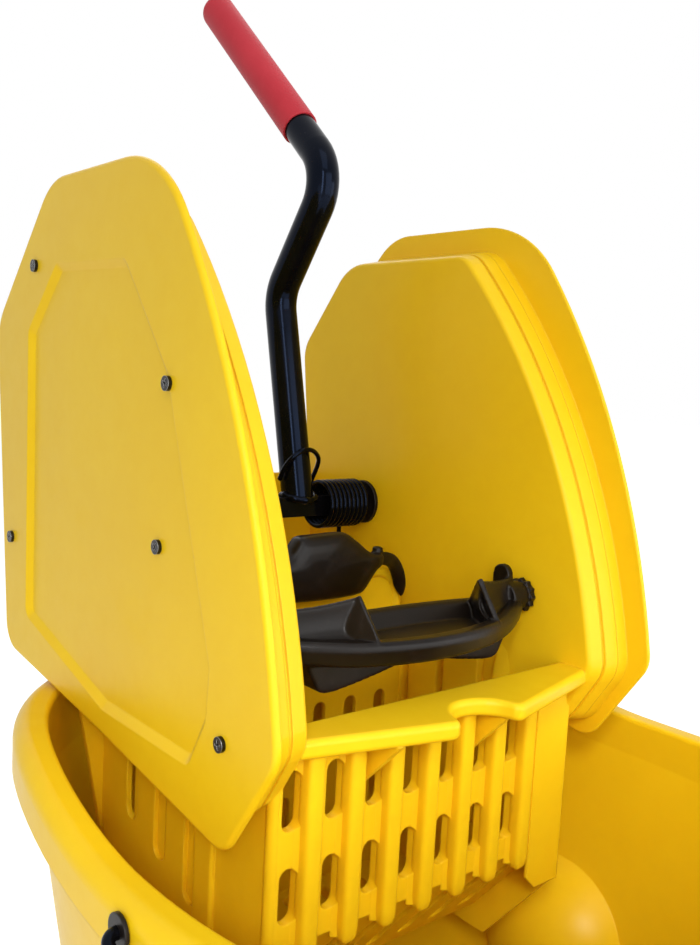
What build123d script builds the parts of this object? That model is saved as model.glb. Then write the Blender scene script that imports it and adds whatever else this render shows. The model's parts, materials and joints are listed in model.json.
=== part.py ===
"""Mop bucket with a down-press wringer, as separate solids in one frame.

Millimetres, +Z up. Sizes are laid out from the floor under the middle of the bucket,
with the front towards -Y and the handle at the back, towards +Y. The pieces are
exported with the origin moved to the middle of the whole object's length.
"""
from math import acos, atan2, copysign, cos, hypot, pi, radians, sin, sqrt, tan
import os

from build123d import *

os.makedirs("parts", exist_ok=True)

# Bucket
bucket_width = 438.0
bucket_length = 550.0
oval_power = 2.6
oval_steps = 24
rim_flange = 20.0
rim_top = 5.0
rim_skirt = 27.0
skirt_wall = 4.0
bucket_wall = 4.5
bucket_floor = 5.0
floor_height = 100.0
floor_width = 336.0
floor_length = 430.0
rim_low = 391.0
rim_back = 410.0
rim_front = 398.0
dip_y = -20.0
wave_back = 165.0
wave_front = 200.0
rim_round = 10.0
rim_inner_round = 3.0
baffle_size = 75.0
baffle_x = 215.0
baffle_y = 22.0
baffle_z = 200.0

# Casters
wheel_size = 76.0
tyre_width = 24.0
tyre_depth = 9.0
wheel_side_gap = 2.5
fork_gauge = 3.5
fork_trail = 24.0
fork_over_wheel = 4.0
fork_eye = 11.0
axle_size = 8.0
stem_size = 11.0
stem_reach = 38.0
sleeve_wall = 2.4
sleeve_flange = 2.0
pod_size = 40.0
pod_drop = 8.0
pod_rise = 50.0
caster_x = 122.0
caster_y = 165.0
running_fit = 0.08
swivel_gap = 0.4

# Bail
bail_wire_size = 6.4
bail_front_inset = 13.1
bail_side_gap = 4.5
bail_corner = 105.0
bail_hang = 30.0
bail_y = -35.0
bail_z = 378.0
bail_grip_size = 22.0
bail_grip_length = 120.0
bush_wall = 2.6
bush_flange = 2.0

# Wringer body
cavity_width = 234.0
pan_gauge = 4.0
pan_depth = 25.0
pan_draft = 5.5
pan_round = 3.5
pan_groove = 1.2
pan_groove_width = 2.4
pan_groove_x = 12.0
cover_depth = 12.5
cover_edge = 4.5
cover_edge_round = 3.0
cover_back_round = 1.2
cover_corner = 22.0
cover_field_depth = 3.6
cover_field_bevel = 55.0
cover_skin = 4.5
screw_size = 4.0
screw_head = 8.4
screw_head_depth = 2.4
screw_grip = 18.0
screw_boss = 11.0
screw_spots = ((243.5, 696.0), (54.3, 624.0), (66.4, 532.0), (279.0, 503.0), (-12.3, 444.5))
screw_in_field = 2

# Side housing, outline corners as (y, z)
front_foot = (-17.0, 386.0)
front_chin = (-60.0, 449.0)
front_belly = (-19.5, 596.0)
front_brow = (74.0, 752.0)
top_back = (222.0, 752.0)
back_brow = (316.8, 657.0)
back_foot = (288.0, 421.0)
under_mid = (130.0, 404.5)
field_corners = (
    (209.0, 696.0),
    (110.0, 694.0),
    (56.0, 630.0),
    (2.0, 480.0),
    (4.0, 450.0),
    (20.0, 421.0),
    (125.0, 420.0),
    (251.0, 451.0),
    (255.0, 652.0),
)
field_round = 9.0

# Pan inside each side housing, outline corners as (y, z)
pan_foot = (-10.0, 402.0)
pan_chin = (-37.0, 444.0)
pan_belly = (0.0, 572.0)
pan_brow = (103.5, 726.0)
pan_top_back = (241.0, 726.0)
pan_back_brow = (299.0, 655.0)
pan_back_foot = (270.0, 436.0)
pan_under_mid = (130.0, 414.0)

# Basket
basket_half = 121.0
basket_wall = 4.0
front_face_y = -18.5
front_wall = 6.0
front_low_z = 322.0
shelf_top = 445.0
shelf_gauge = 11.0
shelf_side_y = -33.0
shelf_tip_y = -58.0
shelf_tip_x = 23.0
shelf_notch_y = -33.0
shelf_tip_round = 6.0
shelf_lip_round = 3.6
gusset_drop = 30.0
gusset_reach = 30.0
gusset_gauge = 4.0
slot_first_x = -113.0
slot_pitch = 29.2
slot_count = 7
slot_width = 11.5
slot_low_z = 336.0
slot_low_tall = 32.0
slot_high_z = 389.0
slot_high_tall = 34.0
rib_width = 9.0
rib_stand = 8.5
rib_flare = 3.0
rib_foot_z = 318.0
rib_foot_round = 8.0
strip_left = 88.0
strip_stand = 1.5
corner_post = 10.0
side_rib_y = 51.5
side_rib_width = 21.0
side_rib_stand = 3.0
side_rib_low_z = 300.0
strip_foot_z = 292.0
side_slot_first_y = 70.0
side_slot_pitch = 38.0
side_slot_count = 3
side_slot_width = 15.0
side_slot_low_z = 308.0
side_slot_top_z = 394.0
side_slot_step = 12.0
back_slot_pitch = 30.0
back_slot_count = 7
back_slot_top = 386.0
back_slot_tall = 54.0
back_slot_gap = 14.0
back_wall_y = 140.0
back_wall_top = 482.0
back_top_half = 101.0
back_step_z = 424.0
back_corner = 20.0
floor_z = 240.0
floor_knee_y = 52.0
side_low_z = 222.0
side_back_y = 195.0
flange_gauge = 5.0
flange_top_half = 138.0
flange_low_half = 112.0
flange_low_z = 250.0
flange_turn_z = 395.0
flange_top_z = 446.0
rear_wall_gauge = 4.0
rear_wall_top = 543.0
rear_wall_clear = 1.0
hook_half = 60.0
hook_gauge = 5.0
hook_clear = 2.5
hook_tongue = 32.0
lug_in = 108.0
lug_out = 140.0
lug_back_y = 236.0
ledge_gauge = 6.0
ledge_z = 462.0

# Handle and cross shaft
shaft_y = 202.5
shaft_z = 527.0
shaft_side = 16.0
shaft_stub = 14.0
sleeve_size = 28.0
sleeve_collar = 36.0
tube_size = 25.4
tube_wall = 2.0
tube_x = 45.0
tube_bend = 34.0
tube_foot_y = 199.1
tube_knee = (237.5, 694.0)
tube_elbow = (176.5, 782.6)
grip_end = (353.0, 945.0)
grip_size = 28.6
grip_length = 181.0
grip_cap = 4.0
bearing_depth = 5.0
end_play = 0.4

# Torsion spring
spring_wire = 3.8
spring_radius = 18.0
spring_pitch = 4.4
spring_turns = 9
spring_x = 66.0
spring_leg_end = 456.0

# Press plate
press_y = 24.0
press_z = 485.0
press_half = 103.0
press_low = 469.0
press_rim_tall = 13.0
press_front_mid = -19.0
press_front_side = 9.0
press_back_mid = 50.0
press_back_side = 36.0
tray_half = 42.0
tray_front_y = -7.0
tray_back_y = 39.0
tray_depth = 7.0
ear_in = 43.0
ear_wall = 4.0
ear_rise = 24.0
ear_foot_y = -13.0
ear_crest_y = 3.0
post_in = 87.0
post_gauge = 9.0
post_round = 7.5
lobe_low = 449.5
lobe_mid = 461.0
lobe_x = 71.0
lobe_end = 86.0
lobe_front_y = 9.0
lobe_depth = 25.0
axle_round = 20.0
axle_square = 13.0
axle_stub = 12.0
hub_size = 32.0
hub_in = 96.0
hub_depth = 14.0
hub_collar = 5.0

# Back pad
pad_front_y = 114.0
pad_back_y = 131.0
pad_top = 518.0
pad_low = 471.0
pad_top_half = 42.0
pad_low_half = 45.0
pad_round = 5.0
neck_x = 66.0
neck_low = 490.0
neck_high = 502.0
horn_size = 12.0

# Links in the side housings
crank_radius = 45.0
crank_lead = 250.0
crank_gauge = 7.0
crank_boss = 30.0
link_gauge = 5.0
link_eye = 16.0
link_bar = 11.0
pin_size = 8.0
pin_head = 13.0
side_play = 0.4

# Places that follow from the sizes above
mouth_width = bucket_width - 2 * rim_flange
mouth_length = bucket_length - 2 * rim_flange
wall_top = rim_low - rim_skirt
pan_in = cavity_width / 2
pan_out = pan_in + pan_depth
cover_in = pan_out
cover_out = cover_in + cover_depth
flange_in = cover_out - cover_edge
wheel_z = wheel_size / 2
fork_roof = wheel_size + fork_over_wheel
pod_low = floor_height - pod_drop
sleeve_bore = stem_size + 2 * running_fit
sleeve_out = sleeve_bore + 2 * sleeve_wall
stem_foot = pod_low - sleeve_flange - swivel_gap
bail_x = bucket_width / 2 + bail_side_gap + bail_wire_size / 2
bail_reach = (bucket_length / 2 + bail_y - bail_front_inset) / cos(radians(bail_hang))
bush_bore = bail_wire_size + 2 * running_fit
bush_out = bush_bore + 2 * bush_wall
crank_in = pan_in + pan_gauge + 4
crank_out = crank_in + crank_gauge
link_in = crank_out + side_play
link_out = link_in + link_gauge
pin_y = crank_radius * cos(radians(crank_lead))
pin_z = crank_radius * sin(radians(crank_lead))


pieces = []


def save(shape, label):
    """Keep a finished piece for the export at the end."""
    pieces.append((label, shape))


def oval(width, length, mode=Mode.ADD):
    """Fill the bucket's outline in plan at a given size."""
    points = []
    for step in range(oval_steps):
        turn = 2 * pi * step / oval_steps
        east = cos(turn)
        north = sin(turn)
        x = copysign(abs(east) ** (2 / oval_power), east) * width / 2
        y = copysign(abs(north) ** (2 / oval_power), north) * length / 2
        points.append((x, y))
    with BuildLine() as ring:
        Spline(*points, periodic=True)
    make_face(ring.edges(), mode=mode)


def oval_share(point):
    """How far out a point lies in plan, with 1 on the bucket's outline."""
    return abs(2 * point.X / bucket_width) ** oval_power + abs(2 * point.Y / bucket_length) ** oval_power


def rim_height(y):
    """Height of the rim's crest: low at the sides, higher at front and back."""
    if y > dip_y:
        rise = rim_back - rim_low
        run = wave_back
    else:
        rise = rim_front - rim_low
        run = wave_front
    share = min(abs(y - dip_y) / run, 1)
    return rim_low + rise * share * share * (3 - 2 * share)


def under_rim(drop):
    """Fill the side view below the rim's crest, lowered by drop."""
    front = dip_y - wave_front
    back = dip_y + wave_back
    steps = 12
    crest = []
    for step in range(steps + 1):
        y = front + (back - front) * step / steps
        crest.append((y, rim_height(y) - drop))
    far = bucket_length
    with BuildLine() as edge:
        Spline(*crest, tangents=[(1, 0), (1, 0)])
        Polyline(
            crest[-1],
            (far, crest[-1][1]),
            (far, 0),
            (-far, 0),
            (-far, crest[0][1]),
            crest[0],
        )
    make_face(edge.edges())


def hull(first, second, size_first, size_second):
    """Fill a bar with round ends between two points of a sketch."""
    gap = hypot(second[0] - first[0], second[1] - first[1])
    heading = atan2(second[1] - first[1], second[0] - first[0])
    lean = acos((size_first - size_second) / 2 / gap)
    corners = []
    for side in (1, -1):
        turn = heading + side * lean
        corners.append(
            (
                (first[0] + size_first / 2 * cos(turn), first[1] + size_first / 2 * sin(turn)),
                (second[0] + size_second / 2 * cos(turn), second[1] + size_second / 2 * sin(turn)),
            )
        )
    with BuildLine() as bar:
        Polyline(corners[0][0], corners[0][1], corners[1][1], corners[1][0], close=True)
    make_face(bar.edges())
    with Locations(first):
        Circle(size_first / 2)
    with Locations(second):
        Circle(size_second / 2)


# Bucket: the space inside, with a baffle standing in from each side wall
with BuildPart() as bucket_room:
    with BuildSketch(Plane.XY.offset(floor_height + bucket_floor)):
        oval(floor_width - 2 * bucket_wall, floor_length - 2 * bucket_wall)
    with BuildSketch(Plane.XY.offset(wall_top)):
        oval(mouth_width, mouth_length)
    loft()
    with Locations((baffle_x, baffle_y, baffle_z), (-baffle_x, baffle_y, baffle_z)):
        Sphere(baffle_size, mode=Mode.SUBTRACT)

# The hollow under the rolled rim, and what is left out below its skirt
with BuildPart() as rim_hollow:
    with BuildSketch(Plane.XY.offset(wall_top - 1)):
        oval(bucket_width - 2 * skirt_wall, bucket_length - 2 * skirt_wall)
        oval(mouth_width + 2 * bucket_wall, mouth_length + 2 * bucket_wall, Mode.SUBTRACT)
    extrude(amount=rim_skirt * 3)
    with BuildSketch(Plane.YZ):
        under_rim(rim_top)
    extrude(amount=bucket_width, both=True, mode=Mode.INTERSECT)

with BuildPart() as skirt_trim:
    with BuildSketch(Plane.XY.offset(wall_top - 1)):
        oval(bucket_width + 2, bucket_length + 2)
        oval(mouth_width + 2 * bucket_wall, mouth_length + 2 * bucket_wall, Mode.SUBTRACT)
    extrude(amount=rim_skirt * 3)
    with BuildSketch(Plane.YZ):
        under_rim(rim_skirt)
    extrude(amount=bucket_width, both=True, mode=Mode.INTERSECT)

with BuildPart() as bucket_shell:
    with BuildSketch(Plane.XY.offset(wall_top)):
        oval(bucket_width, bucket_length)
        oval(mouth_width, mouth_length, Mode.SUBTRACT)
    extrude(amount=rim_skirt * 3)
    with BuildSketch(Plane.YZ):
        under_rim(0)
    extrude(amount=bucket_width, both=True, mode=Mode.INTERSECT)
    crest = bucket_shell.edges().filter_by(lambda edge: edge.center().Z > rim_low - 1)
    fillet(crest.filter_by(lambda edge: oval_share(edge.position_at(0.3)) > 0.9), rim_round)
    crest = bucket_shell.edges().filter_by(lambda edge: edge.center().Z > rim_low - 1)
    fillet(crest.filter_by(lambda edge: oval_share(edge.position_at(0.3)) < 0.85), rim_inner_round)
    add(rim_hollow.part, mode=Mode.SUBTRACT)
    add(skirt_trim.part, mode=Mode.SUBTRACT)
    with BuildSketch(Plane.XY.offset(floor_height)):
        oval(floor_width, floor_length)
    with BuildSketch(Plane.XY.offset(wall_top)):
        oval(mouth_width + 2 * bucket_wall, mouth_length + 2 * bucket_wall)
    loft()
    add(bucket_room.part, mode=Mode.SUBTRACT)
    with Locations((baffle_x, baffle_y, baffle_z), (-baffle_x, baffle_y, baffle_z)):
        Sphere(baffle_size - bucket_wall, mode=Mode.SUBTRACT)
    with Locations((0, 0, pod_low)):
        with GridLocations(2 * caster_x, 2 * caster_y, 2, 2):
            Cylinder(pod_size / 2, pod_rise, align=(Align.CENTER, Align.CENTER, Align.MIN))
            Cylinder(
                sleeve_out / 2,
                stem_reach + 2,
                align=(Align.CENTER, Align.CENTER, Align.MIN),
                mode=Mode.SUBTRACT,
            )
    with Locations((0, bail_y, bail_z)):
        for side in (1, -1):
            with Locations((side * (bucket_width / 2 - skirt_wall / 2), 0, 0)):
                Cylinder(bush_out / 2, skirt_wall * 2, rotation=(0, 90, 0), mode=Mode.SUBTRACT)
save(bucket_shell.part, "bucket_shell")

with BuildPart() as caster_sleeves:
    with Locations((0, 0, pod_low)):
        with GridLocations(2 * caster_x, 2 * caster_y, 2, 2):
            Cylinder(sleeve_out / 2, stem_reach + 2, align=(Align.CENTER, Align.CENTER, Align.MIN))
            Cylinder(sleeve_out / 2 + 4, sleeve_flange, align=(Align.CENTER, Align.CENTER, Align.MAX))
    with Locations((0, 0, pod_low - sleeve_flange)):
        with GridLocations(2 * caster_x, 2 * caster_y, 2, 2):
            Cylinder(
                sleeve_bore / 2,
                stem_reach + 2 * sleeve_flange,
                align=(Align.CENTER, Align.CENTER, Align.MIN),
                mode=Mode.SUBTRACT,
            )
save(caster_sleeves.part, "caster_sleeves")

bush_face = bucket_width / 2
bush_foot = bucket_width / 2 - skirt_wall

with BuildPart() as bail_bushes:
    for side in (1, -1):
        with Locations(Location((side * bush_foot, bail_y, bail_z), (0, side * 90, 0))):
            Cylinder(bush_out / 2, skirt_wall, align=(Align.CENTER, Align.CENTER, Align.MIN))
        with Locations(Location((side * bush_face, bail_y, bail_z), (0, side * 90, 0))):
            Cylinder(bush_out / 2 + 3, bush_flange, align=(Align.CENTER, Align.CENTER, Align.MIN))
        with Locations(Location((side * bush_face, bail_y, bail_z), (0, 90, 0))):
            Cylinder(bush_bore / 2, 4 * skirt_wall, mode=Mode.SUBTRACT)
save(bail_bushes.part, "bail_bushes")

# Casters: made once on the stem's axis, then set at the four corners
fork_in = tyre_width / 2 + wheel_side_gap
fork_out = fork_in + fork_gauge

with BuildPart() as fork_master:
    for side in (1, -1):
        with BuildSketch(Plane.YZ.offset(side * fork_in)):
            hull((fork_trail, wheel_z), (4, fork_roof + fork_gauge - 18), 2 * fork_eye, 36)
        extrude(amount=side * fork_gauge)
    with Locations((0, 4, fork_roof)):
        Box(2 * fork_out, 36, fork_gauge, align=(Align.CENTER, Align.CENTER, Align.MIN))
    with Locations((0, 0, fork_roof)):
        Cylinder(17, stem_foot - fork_roof, align=(Align.CENTER, Align.CENTER, Align.MIN))
        Cylinder(stem_size / 2, 60, mode=Mode.SUBTRACT)
    with Locations((0, fork_trail, wheel_z)):
        Cylinder(axle_size / 2, 4 * fork_out, rotation=(0, 90, 0), mode=Mode.SUBTRACT)

with BuildPart() as stem_master:
    with Locations((0, 0, fork_roof)):
        Cylinder(
            stem_size / 2,
            pod_low + stem_reach - fork_roof,
            align=(Align.CENTER, Align.CENTER, Align.MIN),
        )
        Cylinder(stem_size / 2 + 2.5, 2, align=(Align.CENTER, Align.CENTER, Align.MAX))
    chamfer(stem_master.edges().sort_by(Axis.Z)[-1], 1.5)

with BuildPart() as axle_master:
    with Locations((0, fork_trail, wheel_z)):
        Cylinder(axle_size / 2, 2 * fork_out + 4, rotation=(0, 90, 0))
    with Locations(Location((-fork_out, fork_trail, wheel_z), (0, -90, 0))):
        Cylinder(axle_size * 0.85, 4, align=(Align.CENTER, Align.CENTER, Align.MIN))
    with BuildSketch(Plane.YZ.offset(fork_out)):
        with Locations((fork_trail, wheel_z)):
            RegularPolygon(axle_size * 0.9, 6)
    extrude(amount=5)

tyre_bore = wheel_size - 2 * tyre_depth

with BuildPart() as tyre_master:
    with Locations(Location((0, fork_trail, wheel_z), (0, 90, 0))):
        Cylinder(wheel_size / 2, tyre_width)
        fillet(tyre_master.edges(), tyre_depth * 0.7)
        Cylinder(tyre_bore / 2, tyre_width * 2, mode=Mode.SUBTRACT)

with BuildPart() as hub_master:
    with Locations(Location((0, fork_trail, wheel_z), (0, 90, 0))):
        Cylinder(tyre_bore / 2, tyre_width - 4)
    for side in (1, -1):
        with BuildSketch(Plane.YZ.offset(side * (tyre_width / 2 - 2))):
            with Locations((fork_trail, wheel_z)):
                Circle(tyre_bore / 2 - 4)
        extrude(amount=-side * 6, mode=Mode.SUBTRACT)
    with Locations(Location((0, fork_trail, wheel_z), (0, 90, 0))):
        Cylinder(axle_size, 2 * fork_in - 2 * swivel_gap)
        Cylinder(axle_size / 2 + running_fit, 4 * fork_in, mode=Mode.SUBTRACT)

for end, end_y in (("front", -caster_y), ("rear", caster_y)):
    for flank, flank_x in (("left", -caster_x), ("right", caster_x)):
        spot = Pos(flank_x, end_y, 0)
        save(spot * fork_master.part, f"caster_fork_{end}_{flank}")
        save(spot * stem_master.part, f"caster_stem_{end}_{flank}")
        save(spot * axle_master.part, f"caster_axle_{end}_{flank}")
        save(spot * tyre_master.part, f"caster_tyre_{end}_{flank}")
        save(spot * hub_master.part, f"caster_hub_{end}_{flank}")

# Bail, hanging forward and down from the rim
bail_plane = Plane(
    origin=(0, bail_y, bail_z),
    x_dir=(1, 0, 0),
    z_dir=(0, sin(radians(bail_hang)), -cos(radians(bail_hang))),
)
bail_tip = bush_foot - 3.5

with BuildPart() as bail_wire:
    with BuildLine(bail_plane) as bail_path:
        FilletPolyline(
            (-bail_tip, 0),
            (-bail_x, 0),
            (-bail_x, bail_reach),
            (bail_x, bail_reach),
            (bail_x, 0),
            (bail_tip, 0),
            radius=[bail_wire_size * 0.8, bail_corner, bail_corner, bail_wire_size * 0.8],
        )
    with BuildSketch(Plane(origin=bail_path.line @ 0, z_dir=bail_path.line % 0)):
        Circle(bail_wire_size / 2)
    sweep(path=bail_path.line)
save(bail_wire.part, "bail_wire")

with BuildPart() as bail_collars:
    for side in (1, -1):
        with Locations(Location((side * (bush_foot - 0.6), bail_y, bail_z), (0, -side * 90, 0))):
            Cylinder(bush_out / 2 - 0.6, 2, align=(Align.CENTER, Align.CENTER, Align.MIN))
            Cylinder(bail_wire_size / 2, 8, mode=Mode.SUBTRACT)
save(bail_collars.part, "bail_collars")

with BuildPart() as bail_grip:
    with Locations(bail_plane.location * Location((0, bail_reach, 0), (0, 90, 0))):
        Cylinder(bail_grip_size / 2, bail_grip_length)
        fillet(bail_grip.edges(), 4)
        Cylinder(bail_wire_size / 2, bail_grip_length * 2, mode=Mode.SUBTRACT)
save(bail_grip.part, "bail_grip")

# Side housings: one outline, inset for the pans that stand inside the covers
with BuildSketch(Plane.YZ.offset(flange_in)) as cover_outline:
    with BuildLine():
        Line(front_foot, front_chin)
        ThreePointArc(front_chin, front_belly, front_brow)
        Polyline(front_brow, top_back, back_brow, back_foot, under_mid, front_foot)
    make_face()
    for corner, round_share in (
        (front_foot, 0.8),
        (front_chin, 1.0),
        (front_brow, 3.9),
        (top_back, 2.2),
        (back_brow, 1.6),
        (back_foot, 1.0),
        (under_mid, 12.0),
    ):
        fillet(cover_outline.vertices().sort_by_distance(corner)[0], cover_corner * round_share)

with BuildSketch(Plane.YZ.offset(pan_in)) as pan_outline:
    with BuildLine():
        Line(pan_foot, pan_chin)
        ThreePointArc(pan_chin, pan_belly, pan_brow)
        Polyline(pan_brow, pan_top_back, pan_back_brow, pan_back_foot, pan_under_mid, pan_foot)
    make_face()
    for corner, round_share in (
        (pan_foot, 0.8),
        (pan_chin, 1.0),
        (pan_brow, 1.0),
        (pan_top_back, 1.8),
        (pan_back_brow, 1.2),
        (pan_back_foot, 0.8),
        (pan_under_mid, 12.0),
    ):
        fillet(pan_outline.vertices().sort_by_distance(corner)[0], cover_corner * round_share)

with BuildSketch(Plane.YZ.offset(pan_out)) as pan_rim_outline:
    offset(pan_outline.sketch_local, amount=pan_draft)

with BuildSketch(Plane.YZ.offset(flange_in)) as plug_outline:
    offset(pan_outline.sketch_local, amount=pan_draft * (flange_in - pan_in) / pan_depth)

with BuildSketch(Plane.YZ.offset(pan_in + pan_groove_x)) as groove_outline:
    offset(pan_outline.sketch_local, amount=pan_draft)
    groove_floor = pan_draft * pan_groove_x / pan_depth - pan_groove
    offset(pan_outline.sketch_local, amount=groove_floor, mode=Mode.SUBTRACT)

with BuildSketch(Plane.YZ.offset(pan_in + pan_gauge)) as room_outline:
    offset(pan_outline.sketch_local, amount=-pan_gauge)

with BuildSketch(Plane.YZ.offset(cover_in)) as cover_room_outline:
    offset(pan_outline.sketch_local, amount=-pan_gauge - 3)

with BuildSketch(Plane.YZ.offset(cover_out)) as field_outline:
    Polygon(*field_corners, align=None)
    fillet(field_outline.vertices(), field_round)

with BuildPart() as pan_rooms:
    extrude(room_outline.sketch, amount=pan_depth)
    mirror(about=Plane.YZ)

slot_xs = [slot_first_x + slot_pitch * index for index in range(slot_count)]
rib_xs = [x + slot_width / 2 + rib_width / 2 for x in slot_xs]
gusset_xs = [slot_xs[index] - slot_width / 2 - gusset_gauge / 2 for index in (2, 5)]
shelf_low = shelf_top - shelf_gauge
spring_y = shaft_y + spring_radius
spring_end_x = spring_x + spring_pitch * spring_turns

# The shelf over the front wall, with a rounded lip and a notch
with BuildPart() as shelf:
    with BuildSketch(Plane.XY.offset(shelf_low)) as shelf_outline:
        with BuildLine():
            ThreePointArc((-shelf_tip_x, shelf_tip_y), (0, shelf_notch_y), (shelf_tip_x, shelf_tip_y))
            Polyline(
                (shelf_tip_x, shelf_tip_y),
                (pan_in + 2, shelf_side_y),
                (pan_in + 2, front_face_y + front_wall),
                (-pan_in - 2, front_face_y + front_wall),
                (-pan_in - 2, shelf_side_y),
                (-shelf_tip_x, shelf_tip_y),
            )
        make_face()
        fillet(shelf_outline.vertices().sort_by(Axis.Y)[:2], shelf_tip_round)
    extrude(amount=shelf_gauge)
    lip = shelf.faces().filter_by(Axis.Z).edges().filter_by(lambda edge: edge.center().Y < shelf_side_y - 1)
    fillet(lip, shelf_lip_round)

# One rib of the front wall, with a round nose and foot
with BuildPart() as rib:
    with BuildSketch(Plane.XY.offset(rib_foot_z)):
        with BuildLine():
            Line((-rib_width / 2 - rib_flare, 0), (-rib_width / 2, -rib_flare))
            Line((-rib_width / 2, -rib_flare), (-rib_width / 2, rib_width / 2 - rib_stand))
            ThreePointArc(
                (-rib_width / 2, rib_width / 2 - rib_stand),
                (0, -rib_stand),
                (rib_width / 2, rib_width / 2 - rib_stand),
            )
            Line((rib_width / 2, rib_width / 2 - rib_stand), (rib_width / 2, -rib_flare))
            Line((rib_width / 2, -rib_flare), (rib_width / 2 + rib_flare, 0))
            Polyline(
                (rib_width / 2 + rib_flare, 0),
                (rib_width / 2 + rib_flare, 1),
                (-rib_width / 2 - rib_flare, 1),
                (-rib_width / 2 - rib_flare, 0),
            )
        make_face()
    extrude(amount=shelf_low + 1 - rib_foot_z)
    with BuildSketch(Plane.YZ) as rib_side:
        with BuildLine():
            Polyline(
                (1, rib_foot_z),
                (-rib_stand, rib_foot_z),
                (-rib_stand, shelf_top),
                (1, shelf_top),
                close=True,
            )
        make_face()
        fillet(rib_side.vertices().sort_by_distance((-rib_stand, rib_foot_z))[0], rib_foot_round)
    extrude(amount=rib_width, both=True, mode=Mode.INTERSECT)

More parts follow.
